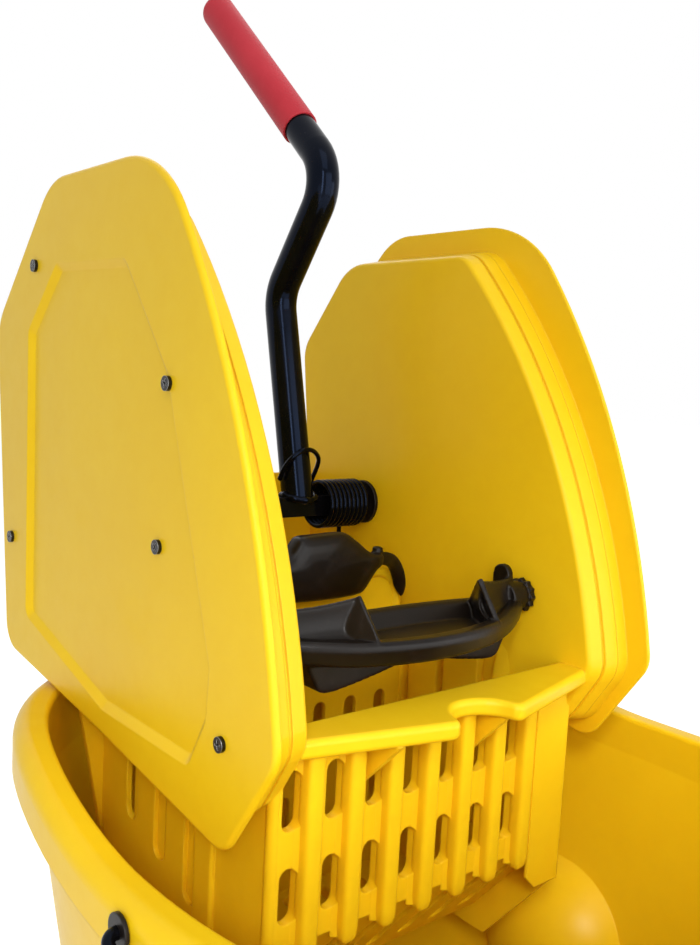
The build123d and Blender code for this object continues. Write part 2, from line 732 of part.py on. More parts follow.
with BuildPart() as wringer_body:
    # One pan, side wall and rest lug, then the other side
    add(pan_outline.sketch)
    add(pan_rim_outline.sketch)
    loft(ruled=True)
    fillet(wringer_body.faces().sort_by(Axis.X)[0].edges(), pan_round)
    extrude(groove_outline.sketch, amount=pan_groove_width, mode=Mode.SUBTRACT)
    with BuildSketch(Plane.YZ.offset(basket_half - basket_wall)):
        Polygon(
            (front_face_y, shelf_top),
            (front_face_y, strip_foot_z),
            (40, side_low_z),
            (back_wall_y + 10, side_low_z),
            (side_back_y, 330),
            (side_back_y, flange_top_z),
            align=None,
        )
        for index in range(side_slot_count):
            slot_y = side_slot_first_y + side_slot_pitch * index
            slot_low = side_slot_low_z + side_slot_step * index
            with Locations((slot_y, (slot_low + side_slot_top_z) / 2)):
                SlotOverall(side_slot_top_z - slot_low, side_slot_width, rotation=90, mode=Mode.SUBTRACT)
    extrude(amount=basket_wall)
    with BuildSketch(Plane.XY.offset(side_rib_low_z)):
        with Locations((basket_half, side_rib_y)):
            RectangleRounded(2 * side_rib_stand, side_rib_width, side_rib_stand * 0.8)
    extrude(amount=pan_under_mid[1] - side_rib_low_z)
    with Locations((0, side_back_y - flange_gauge, rim_back)):
        with Locations((lug_in, 0, 0)):
            Box(
                lug_out - lug_in,
                lug_back_y - side_back_y + flange_gauge,
                7,
                align=(Align.MIN, Align.MIN, Align.MIN),
            )
            Box(6, lug_back_y - side_back_y, 34, align=(Align.MIN, Align.MIN, Align.MIN))
    mirror(about=Plane.YZ)
    # Front wall with its ribs and the plain strip at one end
    with Locations((0, front_face_y, front_low_z)):
        Box(
            2 * basket_half,
            front_wall,
            shelf_top - front_low_z,
            align=(Align.CENTER, Align.MIN, Align.MIN),
        )
    with Locations([(x, front_face_y, 0) for x in rib_xs]):
        add(rib.part)
    with BuildSketch(Plane.XZ.offset(-front_face_y - 1)):
        with BuildLine():
            Polyline(
                (strip_left, shelf_low),
                (strip_left, strip_foot_z + 9),
                (strip_left + 9, strip_foot_z),
                (basket_half, strip_foot_z),
                (basket_half, shelf_low),
                close=True,
            )
        make_face()
    extrude(amount=strip_stand + 1)
    with Locations((-basket_half + 1.5, front_face_y + corner_post / 2, strip_foot_z)):
        Cylinder(corner_post / 2, shelf_low - strip_foot_z, align=(Align.CENTER, Align.CENTER, Align.MIN))
    # Shelf and the gussets under it
    add(shelf.part)
    for x in gusset_xs:
        with BuildSketch(Plane.YZ.offset(x - gusset_gauge / 2)):
            Polygon(
                (front_face_y + 1, shelf_low + 1),
                (front_face_y - gusset_reach, shelf_low + 1),
                (front_face_y + 1, shelf_low - gusset_drop),
                align=None,
            )
        extrude(amount=gusset_gauge)
    # Back wall, floor and rear flange
    with BuildSketch(Plane.XZ.offset(-back_wall_y)) as back_panel:
        Polygon(
            (-basket_half + 1, floor_z),
            (-basket_half + 1, back_step_z),
            (-back_top_half, back_step_z),
            (-back_top_half, back_wall_top),
            (back_top_half, back_wall_top),
            (back_top_half, back_step_z),
            (basket_half - 1, back_step_z),
            (basket_half - 1, floor_z),
            align=None,
        )
        fillet(back_panel.vertices().sort_by(Axis.Y)[-2:], back_corner)
    extrude(amount=-basket_wall)
    with BuildSketch(Plane.YZ):
        Polygon(
            (front_face_y, front_low_z),
            (front_face_y, front_low_z + 6),
            (front_face_y + front_wall, front_low_z + 6),
            (floor_knee_y + 1.5, floor_z + basket_wall),
            (back_wall_y + 1, floor_z + basket_wall),
            (back_wall_y + 1, floor_z),
            (floor_knee_y - 1, floor_z),
            align=None,
        )
    extrude(amount=basket_half - 1, both=True)
    with BuildSketch(Plane.XZ.offset(-side_back_y)):
        Polygon(
            (-flange_low_half, flange_low_z + 40),
            (-flange_low_half - 10, flange_low_z + 60),
            (-flange_top_half, flange_turn_z),
            (-flange_top_half, flange_top_z),
            (flange_top_half, flange_top_z),
            (flange_top_half, flange_turn_z),
            (flange_low_half + 10, flange_low_z + 60),
            (flange_low_half, flange_low_z + 40),
            align=None,
        )
        with Locations((0, flange_low_z + 88)):
            RectangleRounded(150, 70, 12, mode=Mode.SUBTRACT)
    extrude(amount=flange_gauge)
    # Hook over the bucket's rear rim
    with Locations((0, side_back_y - flange_gauge, rim_back)):
        Box(
            2 * hook_half,
            bucket_length / 2 + hook_clear + hook_gauge - side_back_y + flange_gauge,
            hook_gauge,
            align=(Align.CENTER, Align.MIN, Align.MIN),
        )
    with Locations((0, bucket_length / 2 + hook_clear, rim_back + hook_gauge)):
        Box(2 * hook_half, hook_gauge, hook_tongue, align=(Align.CENTER, Align.MIN, Align.MAX))
    for x in (-hook_half + 4, hook_half - 4):
        with BuildSketch(Plane.YZ.offset(x - 2)):
            Polygon(
                (side_back_y - 1, rim_back + 1),
                (side_back_y - 1, flange_top_z),
                (bucket_length / 2, rim_back + hook_gauge),
                (bucket_length / 2, rim_back + 1),
                align=None,
            )
        extrude(amount=4)
    # Wall that closes the back, in line with the backs of the side housings
    rear_lean = (pan_back_brow[0] - pan_back_foot[0]) / (pan_back_brow[1] - pan_back_foot[1])
    rear_low_z = rim_back + rear_wall_clear
    rear_low_y = pan_back_foot[0] + rear_lean * (rear_low_z - pan_back_foot[1]) - 1
    rear_top_y = pan_back_foot[0] + rear_lean * (rear_wall_top - pan_back_foot[1]) - 1
    with BuildSketch(Plane.YZ):
        Polygon(
            (rear_low_y, rear_low_z),
            (rear_top_y, rear_wall_top),
            (rear_top_y + rear_wall_gauge, rear_wall_top),
            (rear_low_y + rear_wall_gauge, rear_low_z),
            align=None,
        )
    extrude(amount=pan_in + pan_round + 3, both=True)
    # Ledge with the hole for the spring's lower leg
    with Locations((spring_end_x - 8, spring_y, ledge_z)):
        Box(
            pan_in - spring_end_x + 9,
            17,
            ledge_gauge,
            align=(Align.MIN, Align.CENTER, Align.MIN),
        )
    with Locations((spring_end_x, spring_y, ledge_z)):
        Cylinder(spring_wire / 2 + 0.4, 4 * ledge_gauge, mode=Mode.SUBTRACT)
    # Slots in the front wall, the back wall and the floor
    with BuildSketch(Plane.XZ.offset(-front_face_y)):
        for x in slot_xs:
            with Locations((x, slot_low_z + slot_low_tall / 2)):
                SlotOverall(slot_low_tall, slot_width, rotation=90)
            with Locations((x, slot_high_z + slot_high_tall / 2)):
                SlotOverall(slot_high_tall, slot_width, rotation=90)
    extrude(amount=front_wall + 1, both=True, mode=Mode.SUBTRACT)
    with BuildSketch(Plane.XZ.offset(-back_wall_y)):
        for row in range(2):
            row_z = back_slot_top - back_slot_tall / 2 - row * (back_slot_tall + back_slot_gap)
            with Locations((0, row_z)):
                with GridLocations(back_slot_pitch, 1, back_slot_count, 1):
                    SlotOverall(back_slot_tall, slot_width, rotation=90)
    extrude(amount=basket_wall + 2, both=True, mode=Mode.SUBTRACT)
    with BuildSketch(Plane.XY.offset(floor_z + basket_wall / 2)):
        with Locations((0, 76), (0, 116)):
            with GridLocations(back_slot_pitch, 1, back_slot_count, 1):
                SlotOverall(30, slot_width, rotation=90)
        with Locations((0, 18)):
            with GridLocations(back_slot_pitch, 1, back_slot_count, 1):
                SlotOverall(44, slot_width, rotation=90)
    extrude(amount=basket_wall + 70, both=True, mode=Mode.SUBTRACT)
    # Insides of the side housings, screw bosses and bearing bores
    add(pan_rooms.part, mode=Mode.SUBTRACT)
    for side in (1, -1):
        for y, z in screw_spots:
            with Locations(Location((side * (pan_in + 1), y, z), (0, side * 90, 0))):
                Cylinder(screw_boss / 2, pan_depth - 1, align=(Align.CENTER, Align.CENTER, Align.MIN))
            with Locations(Location((side * pan_out, y, z), (0, -side * 90, 0))):
                Cylinder(
                    screw_size / 2,
                    screw_grip,
                    align=(Align.CENTER, Align.CENTER, Align.MIN),
                    mode=Mode.SUBTRACT,
                )
        with Locations(Location((side * pan_in, shaft_y, shaft_z), (0, 90, 0))):
            Cylinder(sleeve_size / 2 + running_fit, 4 * pan_gauge, mode=Mode.SUBTRACT)
        with Locations(Location((side * pan_in, press_y, press_z), (0, 90, 0))):
            Cylinder(axle_round / 2 + running_fit, 4 * pan_gauge, mode=Mode.SUBTRACT)
save(wringer_body.part, "wringer_body")

with BuildPart() as cover_right:
    extrude(cover_outline.sketch, amount=cover_edge)
    fillet(cover_right.faces().sort_by(Axis.X)[-1].edges(), cover_edge_round)
    fillet(cover_right.faces().sort_by(Axis.X)[0].edges(), cover_back_round)
    # The cover's back continues the pan's side wall
    add(pan_rim_outline.sketch)
    add(plug_outline.sketch)
    loft(ruled=True)
    extrude(field_outline.sketch, amount=-cover_field_depth, taper=cover_field_bevel, mode=Mode.SUBTRACT)
    extrude(
        cover_room_outline.sketch,
        amount=cover_depth - cover_field_depth - cover_skin,
        mode=Mode.SUBTRACT,
    )
    for y, z in screw_spots:
        with Locations(Location((cover_in, y, z), (0, 90, 0))):
            Cylinder(screw_boss / 2 + 1, bearing_depth + 1, align=(Align.CENTER, Align.CENTER, Align.MIN))
            Cylinder(screw_size / 2 + 0.2, 4 * cover_depth, mode=Mode.SUBTRACT)
    for y, z, stub in ((shaft_y, shaft_z, shaft_stub), (press_y, press_z, axle_stub)):
        with Locations(Location((cover_in, y, z), (0, 90, 0))):
            Cylinder(stub / 2 + 5, bearing_depth + 1, align=(Align.CENTER, Align.CENTER, Align.MIN))
            Cylinder(stub / 2 + running_fit, 2 * bearing_depth, mode=Mode.SUBTRACT)
save(cover_right.part, "cover_right")

with BuildPart() as cover_left:
    mirror(cover_right.part, about=Plane.YZ)
save(cover_left.part, "cover_left")

with BuildPart() as cover_screws_right:
    for index, (y, z) in enumerate(screw_spots):
        seat = cover_out - (cover_field_depth if index == screw_in_field else 0)
        with Locations(Location((seat, y, z), (0, 90, 0))):
            Cylinder(screw_head / 2, screw_head_depth, align=(Align.CENTER, Align.CENTER, Align.MIN))
            Cylinder(
                screw_size / 2,
                seat - pan_out + screw_grip - 1,
                align=(Align.CENTER, Align.CENTER, Align.MAX),
            )
        with Locations(Location((seat + screw_head_depth, y, z), (20 * index, 0, 0))):
            Box(2.4, screw_head * 0.62, 1.1, mode=Mode.SUBTRACT)
            Box(2.4, 1.1, screw_head * 0.62, mode=Mode.SUBTRACT)
save(cover_screws_right.part, "cover_screws_right")

with BuildPart() as cover_screws_left:
    mirror(cover_screws_right.part, about=Plane.YZ)
save(cover_screws_left.part, "cover_screws_left")

# Back pad, hung over the back wall by its horns
with BuildPart() as back_pad:
    with BuildSketch(Plane.XZ.offset(-pad_back_y)):
        with BuildLine():
            for side in (1, -1):
                Line((0, pad_top), (side * pad_top_half, pad_top))
                Spline(
                    (side * pad_top_half, pad_top),
                    (side * (pad_top_half + 11), pad_top - 11),
                    (side * neck_x, neck_high),
                    tangents=[(side, 0), (side, -0.35)],
                )
                Line((side * neck_x, neck_high), (side * neck_x, neck_low))
                ThreePointArc(
                    (side * neck_x, neck_low),
                    (side * (pad_low_half + 9), pad_low + 9),
                    (side * pad_low_half, pad_low),
                )
                Line((side * pad_low_half, pad_low), (0, pad_low))
        make_face()
    extrude(amount=pad_back_y - pad_front_y)
    front_edges = back_pad.faces().sort_by(Axis.Y)[0].edges()
    fillet(front_edges.filter_by(lambda edge: abs(edge.center().X) < neck_x - 1), pad_round)
    horn_z = (neck_low + neck_high) / 2
    horn_over_z = back_wall_top + horn_size / 2 + 9
    horn_behind_y = back_wall_y + basket_wall + horn_size / 2
    for side in (1, -1):
        with BuildLine() as horn_path:
            FilletPolyline(
                (side * (neck_x - 4), pad_back_y - 7, horn_z),
                (side * (neck_x + 10), pad_back_y - 5, horn_z),
                (side * (back_top_half - 12), back_wall_y + 6, horn_over_z),
                (side * (back_top_half - 4), horn_behind_y + 5, back_wall_top - 14),
                radius=8,
            )
        with BuildSketch(Plane(origin=horn_path.line @ 0, z_dir=horn_path.line % 0)):
            Circle(horn_size / 2)
        sweep(path=horn_path.line)
    with Locations((28, pad_back_y, pad_low + 5), (-28, pad_back_y, pad_low + 5)):
        Cylinder(
            5,
            back_wall_y - pad_back_y,
            rotation=(-90, 0, 0),
            align=(Align.CENTER, Align.CENTER, Align.MIN),
        )
save(back_pad.part, "back_pad")

# Handle
with BuildPart() as cross_shaft:
    with Locations(Location((0, shaft_y, shaft_z), (0, 90, 0))):
        Box(shaft_side, shaft_side, 2 * crank_out)
        Cylinder(shaft_stub / 2, 2 * (cover_in + bearing_depth - end_play))
save(cross_shaft.part, "cross_shaft")

with BuildPart() as shaft_sleeve_right:
    with Locations(Location((pan_in - side_play, shaft_y, shaft_z), (0, 90, 0))):
        Cylinder(sleeve_collar / 2, 3, align=(Align.CENTER, Align.CENTER, Align.MAX))
        Cylinder(sleeve_size / 2, pan_gauge + 3, align=(Align.CENTER, Align.CENTER, Align.MIN))
        Box(shaft_side, shaft_side, 60, mode=Mode.SUBTRACT)
save(shaft_sleeve_right.part, "shaft_sleeve_right")

with BuildPart() as shaft_sleeve_left:
    mirror(shaft_sleeve_right.part, about=Plane.YZ)
save(shaft_sleeve_left.part, "shaft_sleeve_left")

grip_run = hypot(grip_end[0] - tube_elbow[0], grip_end[1] - tube_elbow[1])
grip_dy = (grip_end[0] - tube_elbow[0]) / grip_run
grip_dz = (grip_end[1] - tube_elbow[1]) / grip_run
tube_end = (grip_end[0] - grip_cap * grip_dy, grip_end[1] - grip_cap * grip_dz)
grip_start = (grip_end[0] - grip_length * grip_dy, grip_end[1] - grip_length * grip_dz)

with BuildPart() as handle_tube:
    with BuildLine(Plane.YZ.offset(tube_x)) as tube_path:
        FilletPolyline((tube_foot_y, shaft_z), tube_knee, tube_elbow, tube_end, radius=tube_bend)
    with BuildSketch(Plane(origin=tube_path.line @ 0, z_dir=tube_path.line % 0)):
        Circle(tube_size / 2)
        Circle(tube_size / 2 - tube_wall, mode=Mode.SUBTRACT)
    sweep(path=tube_path.line)
    with Locations((tube_x, tube_foot_y, shaft_z + shaft_side / 2)):
        Box(
            2 * tube_size,
            3 * tube_size,
            3 * tube_size,
            align=(Align.CENTER, Align.CENTER, Align.MAX),
            mode=Mode.SUBTRACT,
        )
save(handle_tube.part, "handle_tube")
tube_run = sum(edge.length for edge in tube_path.edges())
print("tube path", round(tube_run, 1), "volume", round(handle_tube.part.volume))

grip_plane = Plane(
    origin=(tube_x, grip_start[0], grip_start[1]), x_dir=(1, 0, 0), z_dir=(0, grip_dy, grip_dz)
)
with BuildPart() as handle_grip:
    with BuildSketch(grip_plane):
        Circle(grip_size / 2)
    extrude(amount=grip_length)
    fillet(handle_grip.edges().sort_by(Axis.Z)[-1], grip_size * 0.27)
    with BuildSketch(grip_plane):
        Circle(tube_size / 2)
    extrude(amount=grip_length - grip_cap, mode=Mode.SUBTRACT)
save(handle_grip.part, "handle_grip")


def arc_pair(start, start_way, end, end_way):
    """Two arcs that leave start and reach end along the given headings."""
    step = end - start
    both = start_way + end_way
    turn = 2 * (1 - start_way.dot(end_way))
    reach = (-step.dot(both) + sqrt(step.dot(both) ** 2 + turn * step.dot(step))) / turn
    joint = (start + end + (start_way - end_way) * reach) * 0.5
    for first, second, way in ((start, joint, start_way), (joint, end, None)):
        chord = second - first
        if way is None:
            way = chord * (2 * chord.dot(end_way) / chord.dot(chord)) - end_way
        lean = way - chord * (way.dot(chord) / chord.dot(chord))
        angle = acos(min(1, way.dot(chord) / chord.length))
        middle = (first + second) * 0.5 + lean.normalized() * (chord.length / 2 * tan(angle / 2))
        ThreePointArc(first, middle, second)


def coil_point(quarter):
    turn = -quarter * pi / 2
    return Vector(
        spring_x + spring_pitch * quarter / 4,
        shaft_y + spring_radius * cos(turn),
        shaft_z + spring_radius * sin(turn),
    )


def coil_way(quarter):
    turn = -quarter * pi / 2
    rise = spring_pitch / (2 * pi * spring_radius)
    return Vector(rise, sin(turn), -cos(turn)).normalized()


hook_points = (
    (spring_x - 41, shaft_y + 4, shaft_z + 21),
    (spring_x - 41, shaft_y - 12, shaft_z + 34),
    (spring_x - 5, shaft_y - 10, shaft_z + 52),
    (spring_x - 1.6, spring_y, shaft_z + 28),
)
with BuildPart() as torsion_spring:
    with BuildLine() as spring_path:
        FilletPolyline(*hook_points, coil_point(0), radius=9)
        for quarter in range(4 * spring_turns):
            arc_pair(
                coil_point(quarter),
                coil_way(quarter),
                coil_point(quarter + 1),
                coil_way(quarter + 1),
            )
        last = coil_point(4 * spring_turns)
        Line(last, (last.X, last.Y, spring_leg_end))
    with BuildSketch(Plane(origin=spring_path.line @ 0, z_dir=spring_path.line % 0)):
        Circle(spring_wire / 2)
    sweep(path=spring_path.line)
save(torsion_spring.part, "torsion_spring")

spring_wire_path = spring_path.wires()[0]
run = spring_wire_path.length
trail = [(run * step / 500, spring_wire_path.position_at(step / 500)) for step in range(501)]
spring_gap = min(
    (here[1] - there[1]).length
    for here in trail
    for there in trail
    if there[0] - here[0] > 4 * spring_wire
)
print("spring path", round(run, 1), "volume", round(torsion_spring.part.volume))
print("spring least gap between turns", round(spring_gap - spring_wire, 2))

# Press plate
press_top = press_low + press_rim_tall

with BuildPart() as press_plate:
    with BuildSketch(Plane.XY.offset(press_low)):
        with BuildLine():
            ThreePointArc(
                (-press_half, press_front_side), (0, press_front_mid), (press_half, press_front_side)
            )
            Line((press_half, press_front_side), (press_half, press_back_side))
            ThreePointArc(
                (press_half, press_back_side), (0, press_back_mid), (-press_half, press_back_side)
            )
            Line((-press_half, press_back_side), (-press_half, press_front_side))
        make_face()
    extrude(amount=press_rim_tall)
    fillet(press_plate.edges().filter_by(GeomType.CIRCLE), press_rim_tall * 0.42)
    with BuildSketch(Plane.XY.offset(press_top)):
        with Locations((0, (tray_front_y + tray_back_y) / 2)):
            RectangleRounded(2 * tray_half, tray_back_y - tray_front_y, 5)
    extrude(amount=-tray_depth, taper=30, mode=Mode.SUBTRACT)
    # Skirt under the plate, lowest towards its ends
    with BuildSketch(Plane.XZ.offset(-lobe_front_y)):
        with BuildLine():
            Spline(
                (-lobe_end, press_low + 1),
                (-lobe_x, lobe_low),
                (-lobe_x * 0.55, (2 * lobe_low + lobe_mid) / 3),
                (0, lobe_mid),
                (lobe_x * 0.55, (2 * lobe_low + lobe_mid) / 3),
                (lobe_x, lobe_low),
                (lobe_end, press_low + 1),
            )
            Line((lobe_end, press_low + 1), (-lobe_end, press_low + 1))
        make_face()
    extrude(amount=-lobe_depth)
    for side in (1, -1):
        # Ear with a scooped front, closed by a gusset on its inner end
        with BuildSketch(Plane.YZ.offset(side * ear_in)):
            Polygon(
                (ear_foot_y, press_top - 1),
                (ear_crest_y, press_top + ear_rise),
                (ear_crest_y + 8, press_top + ear_rise),
                (tray_back_y - 4, press_top - 1),
                align=None,
            )
        extrude(amount=side * ear_wall)
        with BuildSketch(Plane.YZ.offset(side * ear_in)):
            with BuildLine():
                ThreePointArc(
                    (ear_foot_y + 7, press_top - 1),
                    (ear_crest_y, press_top + ear_rise * 0.4),
                    (ear_crest_y + 4, press_top + ear_rise - 1),
                )
                Polyline(
                    (ear_crest_y + 4, press_top + ear_rise - 1),
                    (ear_crest_y + 9, press_top + ear_rise - 1),
                    (tray_back_y - 6, press_top - 1),
                    (ear_foot_y + 7, press_top - 1),
                )
            make_face()
        extrude(amount=side * (press_half - 2 - ear_in))
        with BuildSketch(Plane.YZ.offset(side * post_in)):
            with Locations((press_y - 4, press_z + 20)):
                Circle(post_round)
                Rectangle(2 * post_round, 22, align=(Align.CENTER, Align.MAX))
        extrude(amount=side * post_gauge)
        with Locations(Location((side * hub_in, press_y, press_z), (0, side * 90, 0))):
            Cylinder(hub_size / 2, hub_depth, align=(Align.CENTER, Align.CENTER, Align.MIN))
            Cylinder(
                axle_round / 2,
                3 * hub_depth,
                align=(Align.CENTER, Align.CENTER, Align.MIN),
                mode=Mode.SUBTRACT,
            )
save(press_plate.part, "press_plate")

with BuildPart() as press_axle_right:
    with Locations(Location((hub_in, press_y, press_z), (0, 90, 0))):
        Cylinder(axle_round / 2, crank_in - hub_in - 1, align=(Align.CENTER, Align.CENTER, Align.MIN))
        Cylinder(
            axle_stub / 2,
            cover_in + bearing_depth - end_play - hub_in,
            align=(Align.CENTER, Align.CENTER, Align.MIN),
        )
        Box(axle_square, axle_square, crank_out - hub_in, align=(Align.CENTER, Align.CENTER, Align.MIN))
    with Locations(Location((pan_in - side_play, press_y, press_z), (0, 90, 0))):
        Cylinder(hub_size / 2 + 1, hub_collar, align=(Align.CENTER, Align.CENTER, Align.MAX))
        with PolarLocations(hub_size / 2 + 2, 14):
            Cylinder(2.4, 4 * hub_collar, mode=Mode.SUBTRACT)
save(press_axle_right.part, "press_axle_right")

with BuildPart() as press_axle_left:
    mirror(press_axle_right.part, about=Plane.YZ)
save(press_axle_left.part, "press_axle_left")

# Cranks and links inside the side housings
with BuildPart() as drive_crank_right:
    with BuildSketch(Plane.YZ.offset(crank_in)):
        hull((shaft_y, shaft_z), (shaft_y + pin_y, shaft_z + pin_z), crank_boss, link_eye + 4)
        with Locations((shaft_y, shaft_z)):
            Rectangle(shaft_side, shaft_side, mode=Mode.SUBTRACT)
        with Locations((shaft_y + pin_y, shaft_z + pin_z)):
            Circle(pin_size / 2, mode=Mode.SUBTRACT)
    extrude(amount=crank_gauge)

with BuildPart() as press_crank_right:
    with BuildSketch(Plane.YZ.offset(crank_in)):
        hull((press_y, press_z), (press_y + pin_y, press_z + pin_z), crank_boss, link_eye + 4)
        with Locations((press_y, press_z)):
            Rectangle(axle_square, axle_square, mode=Mode.SUBTRACT)
        with Locations((press_y + pin_y, press_z + pin_z)):
            Circle(pin_size / 2, mode=Mode.SUBTRACT)
    extrude(amount=crank_gauge)

with BuildPart() as link_right:
    with BuildSketch(Plane.YZ.offset(link_in)):
        hull(
            (shaft_y + pin_y, shaft_z + pin_z),
            (press_y + pin_y, press_z + pin_z),
            link_bar,
            link_bar,
        )
        with Locations((shaft_y + pin_y, shaft_z + pin_z), (press_y + pin_y, press_z + pin_z)):
            Circle(link_eye / 2)
        with Locations((shaft_y + pin_y, shaft_z + pin_z)):
            Circle(pin_size / 2 + running_fit, mode=Mode.SUBTRACT)
        with Locations((press_y + pin_y, press_z + pin_z)):
            Circle(pin_size / 2 + running_fit + 0.2, mode=Mode.SUBTRACT)
    extrude(amount=link_gauge)

for name, y, z in (("drive_pin", shaft_y, shaft_z), ("press_pin", press_y, press_z)):
    with BuildPart() as pin_right:
        with Locations(Location((crank_in, y + pin_y, z + pin_z), (0, 90, 0))):
            Cylinder(
                pin_size / 2,
                link_out + side_play - crank_in,
                align=(Align.CENTER, Align.CENTER, Align.MIN),
            )
        with Locations(Location((link_out + side_play, y + pin_y, z + pin_z), (0, 90, 0))):
            Cylinder(pin_head / 2, 2.4, align=(Align.CENTER, Align.CENTER, Align.MIN))
    save(pin_right.part, f"{name}_right")
    save(mirror(pin_right.part, about=Plane.YZ), f"{name}_left")

for name, piece in (
    ("drive_crank", drive_crank_right),
    ("press_crank", press_crank_right),
    ("link", link_right),
):
    save(piece.part, f"{name}_right")
    save(mirror(piece.part, about=Plane.YZ), f"{name}_left")

middle = (handle_grip.part.bounding_box().max.Y - bucket_length / 2) / 2
for label, shape in pieces:
    placed = Pos(0, -middle, 0) * shape
    placed.label = label
    export_step(placed, f"parts/{label}.step")
print("origin is at layout y", round(middle, 2))
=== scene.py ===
"""Looks of a yellow mop bucket with a down-press wringer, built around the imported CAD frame."""
import json
import math

import bmesh
import bpy
from mathutils import Matrix, Vector, noise


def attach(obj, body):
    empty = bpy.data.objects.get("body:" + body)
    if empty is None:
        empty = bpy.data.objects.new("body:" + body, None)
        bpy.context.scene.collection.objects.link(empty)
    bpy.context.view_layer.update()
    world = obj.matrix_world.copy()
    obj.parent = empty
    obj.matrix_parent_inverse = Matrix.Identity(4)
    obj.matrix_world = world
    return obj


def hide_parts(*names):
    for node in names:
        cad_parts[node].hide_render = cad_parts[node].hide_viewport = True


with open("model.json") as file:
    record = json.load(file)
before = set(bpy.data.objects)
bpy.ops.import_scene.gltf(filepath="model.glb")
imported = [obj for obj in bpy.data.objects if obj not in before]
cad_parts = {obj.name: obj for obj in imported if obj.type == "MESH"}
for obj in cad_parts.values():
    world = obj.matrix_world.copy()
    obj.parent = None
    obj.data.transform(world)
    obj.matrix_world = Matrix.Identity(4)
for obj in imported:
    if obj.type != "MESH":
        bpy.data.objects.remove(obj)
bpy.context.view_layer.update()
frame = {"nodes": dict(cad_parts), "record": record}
nodes = frame["nodes"]

MM = 0.001
# Middle of the whole object's length, measured from the bucket's middle
MIDDLE_Y = 42.25


def at(x, y, z):
    """A point of the part's layout, in millimetres from the bucket's middle, in the frame's metres."""
    return Vector((x * MM, (y - MIDDLE_Y) * MM, z * MM))


# Finishes

WHITE = (1, 1, 1, 1)
STREAK_TURN = (0.5, 0.3, 0.7)
EDGE_SAMPLES = 6


class Value:
    """An output of a shader node that takes part in Python arithmetic."""

    def __init__(self, shading, socket):
        self.shading = shading
        self.socket = socket

    def math(self, operation, *terms):
        return self.shading.node("ShaderNodeMath", {"operation": operation}, dict(enumerate(terms)))

    def __add__(self, other):
        return self.math("ADD", self, other)

    def __radd__(self, other):
        return self.math("ADD", other, self)

    def __sub__(self, other):
        return self.math("SUBTRACT", self, other)

    def __rsub__(self, other):
        return self.math("SUBTRACT", other, self)

    def __mul__(self, other):
        return self.math("MULTIPLY", self, other)

    def __rmul__(self, other):
        return self.math("MULTIPLY", other, self)


class Shading:
    """The shader nodes of a material or of the world."""

    def __init__(self, owner):
        owner.use_nodes = True
        self.tree = owner.node_tree
        self.tree.nodes.clear()

    def node(self, kind, settings=None, inputs=None, output=0):
        """One more node: its settings first, then the values or links of its sockets."""
        made = self.tree.nodes.new(kind)
        for key, value in (settings or {}).items():
            setattr(made, key, value)
        for key, value in (inputs or {}).items():
            if isinstance(value, Value):
                self.tree.links.new(value.socket, made.inputs[key])
            else:
                made.inputs[key].default_value = value
        return Value(self, made.outputs[output]) if made.outputs else None

    def where_seen(self, first, second):
        """The first shader on rays that light the object, the second on rays that show what is behind it."""
        rays = ("Is Camera Ray", "Is Glossy Ray", "Is Transmission Ray")
        eye, gloss, through = [self.node("ShaderNodeLightPath", output=ray) for ray in rays]
        return self.node("ShaderNodeMixShader", inputs={0: eye + gloss + through, 1: first, 2: second})


class Finish(Shading):
    """A procedural material."""

    def __init__(self, name):
        self.material = bpy.data.materials.new(name)
        super().__init__(self.material)
        self.place = self.node("ShaderNodeTexCoord", output="Object")

    def principled(self, **inputs):
        named = {socket.replace("_", " "): value for socket, value in inputs.items()}
        return self.node("ShaderNodeBsdfPrincipled", inputs=named)

    def done(self, shader):
        self.node("ShaderNodeOutputMaterial", inputs={"Surface": shader})
        return self.material

    def noise(self, scale, detail=2.0, roughness=0.5, stretch=None):
        """Noise over the piece, in slanting streaks where a stretch is given."""
        place = self.place
        if stretch:
            turned = {"Vector": place, "Rotation": STREAK_TURN, "Scale": stretch}
            place = self.node("ShaderNodeMapping", inputs=turned)
        inputs = {"Vector": place, "Scale": scale, "Detail": detail, "Roughness": roughness}
        return self.node("ShaderNodeTexNoise", inputs=inputs)

    def between(self, value, low, high):
        """Nought at low, one at high, and even between."""
        inputs = {"Value": value, "From Min": low, "From Max": high}
        return self.node("ShaderNodeMapRange", inputs=inputs)

    def patches(self, low, high, **grain):
        """Noise that is nought up to low and one from high."""
        return self.between(self.noise(**grain), low, high)

    def blend(self, factor, first, second):
        """A mix of two colours, on the colour sockets of the node."""
        inputs = {"Factor": factor, 6: first, 7: second}
        return self.node("ShaderNodeMix", {"data_type": "RGBA"}, inputs, output=2)

    def corners(self, reach):
        """The normal rounded over edges, and how far it turns there."""
        soft = self.node("ShaderNodeBevel", {"samples": EDGE_SAMPLES}, {"Radius": reach})
        plain = self.node("ShaderNodeNewGeometry", output="Normal")
        dot = {"operation": "DOT_PRODUCT"}
        agree = self.node("ShaderNodeVectorMath", dot, {0: soft, 1: plain}, "Value")
        return soft, self.between(agree, low=0.99, high=0.80)

    def crevice(self, reach):
        """One in hollows and inner corners, nought in the open."""
        samples = {"samples": EDGE_SAMPLES}
        open_sky = self.node("ShaderNodeAmbientOcclusion", samples, {"Distance": reach}, "AO")
        return self.between(open_sky, low=0.75, high=0.25)

    def bump(self, height, strength, depth, normal):
        inputs = {"Height": height, "Strength": strength, "Distance": depth, "Normal": normal}
        return self.node("ShaderNodeBump", inputs=inputs)


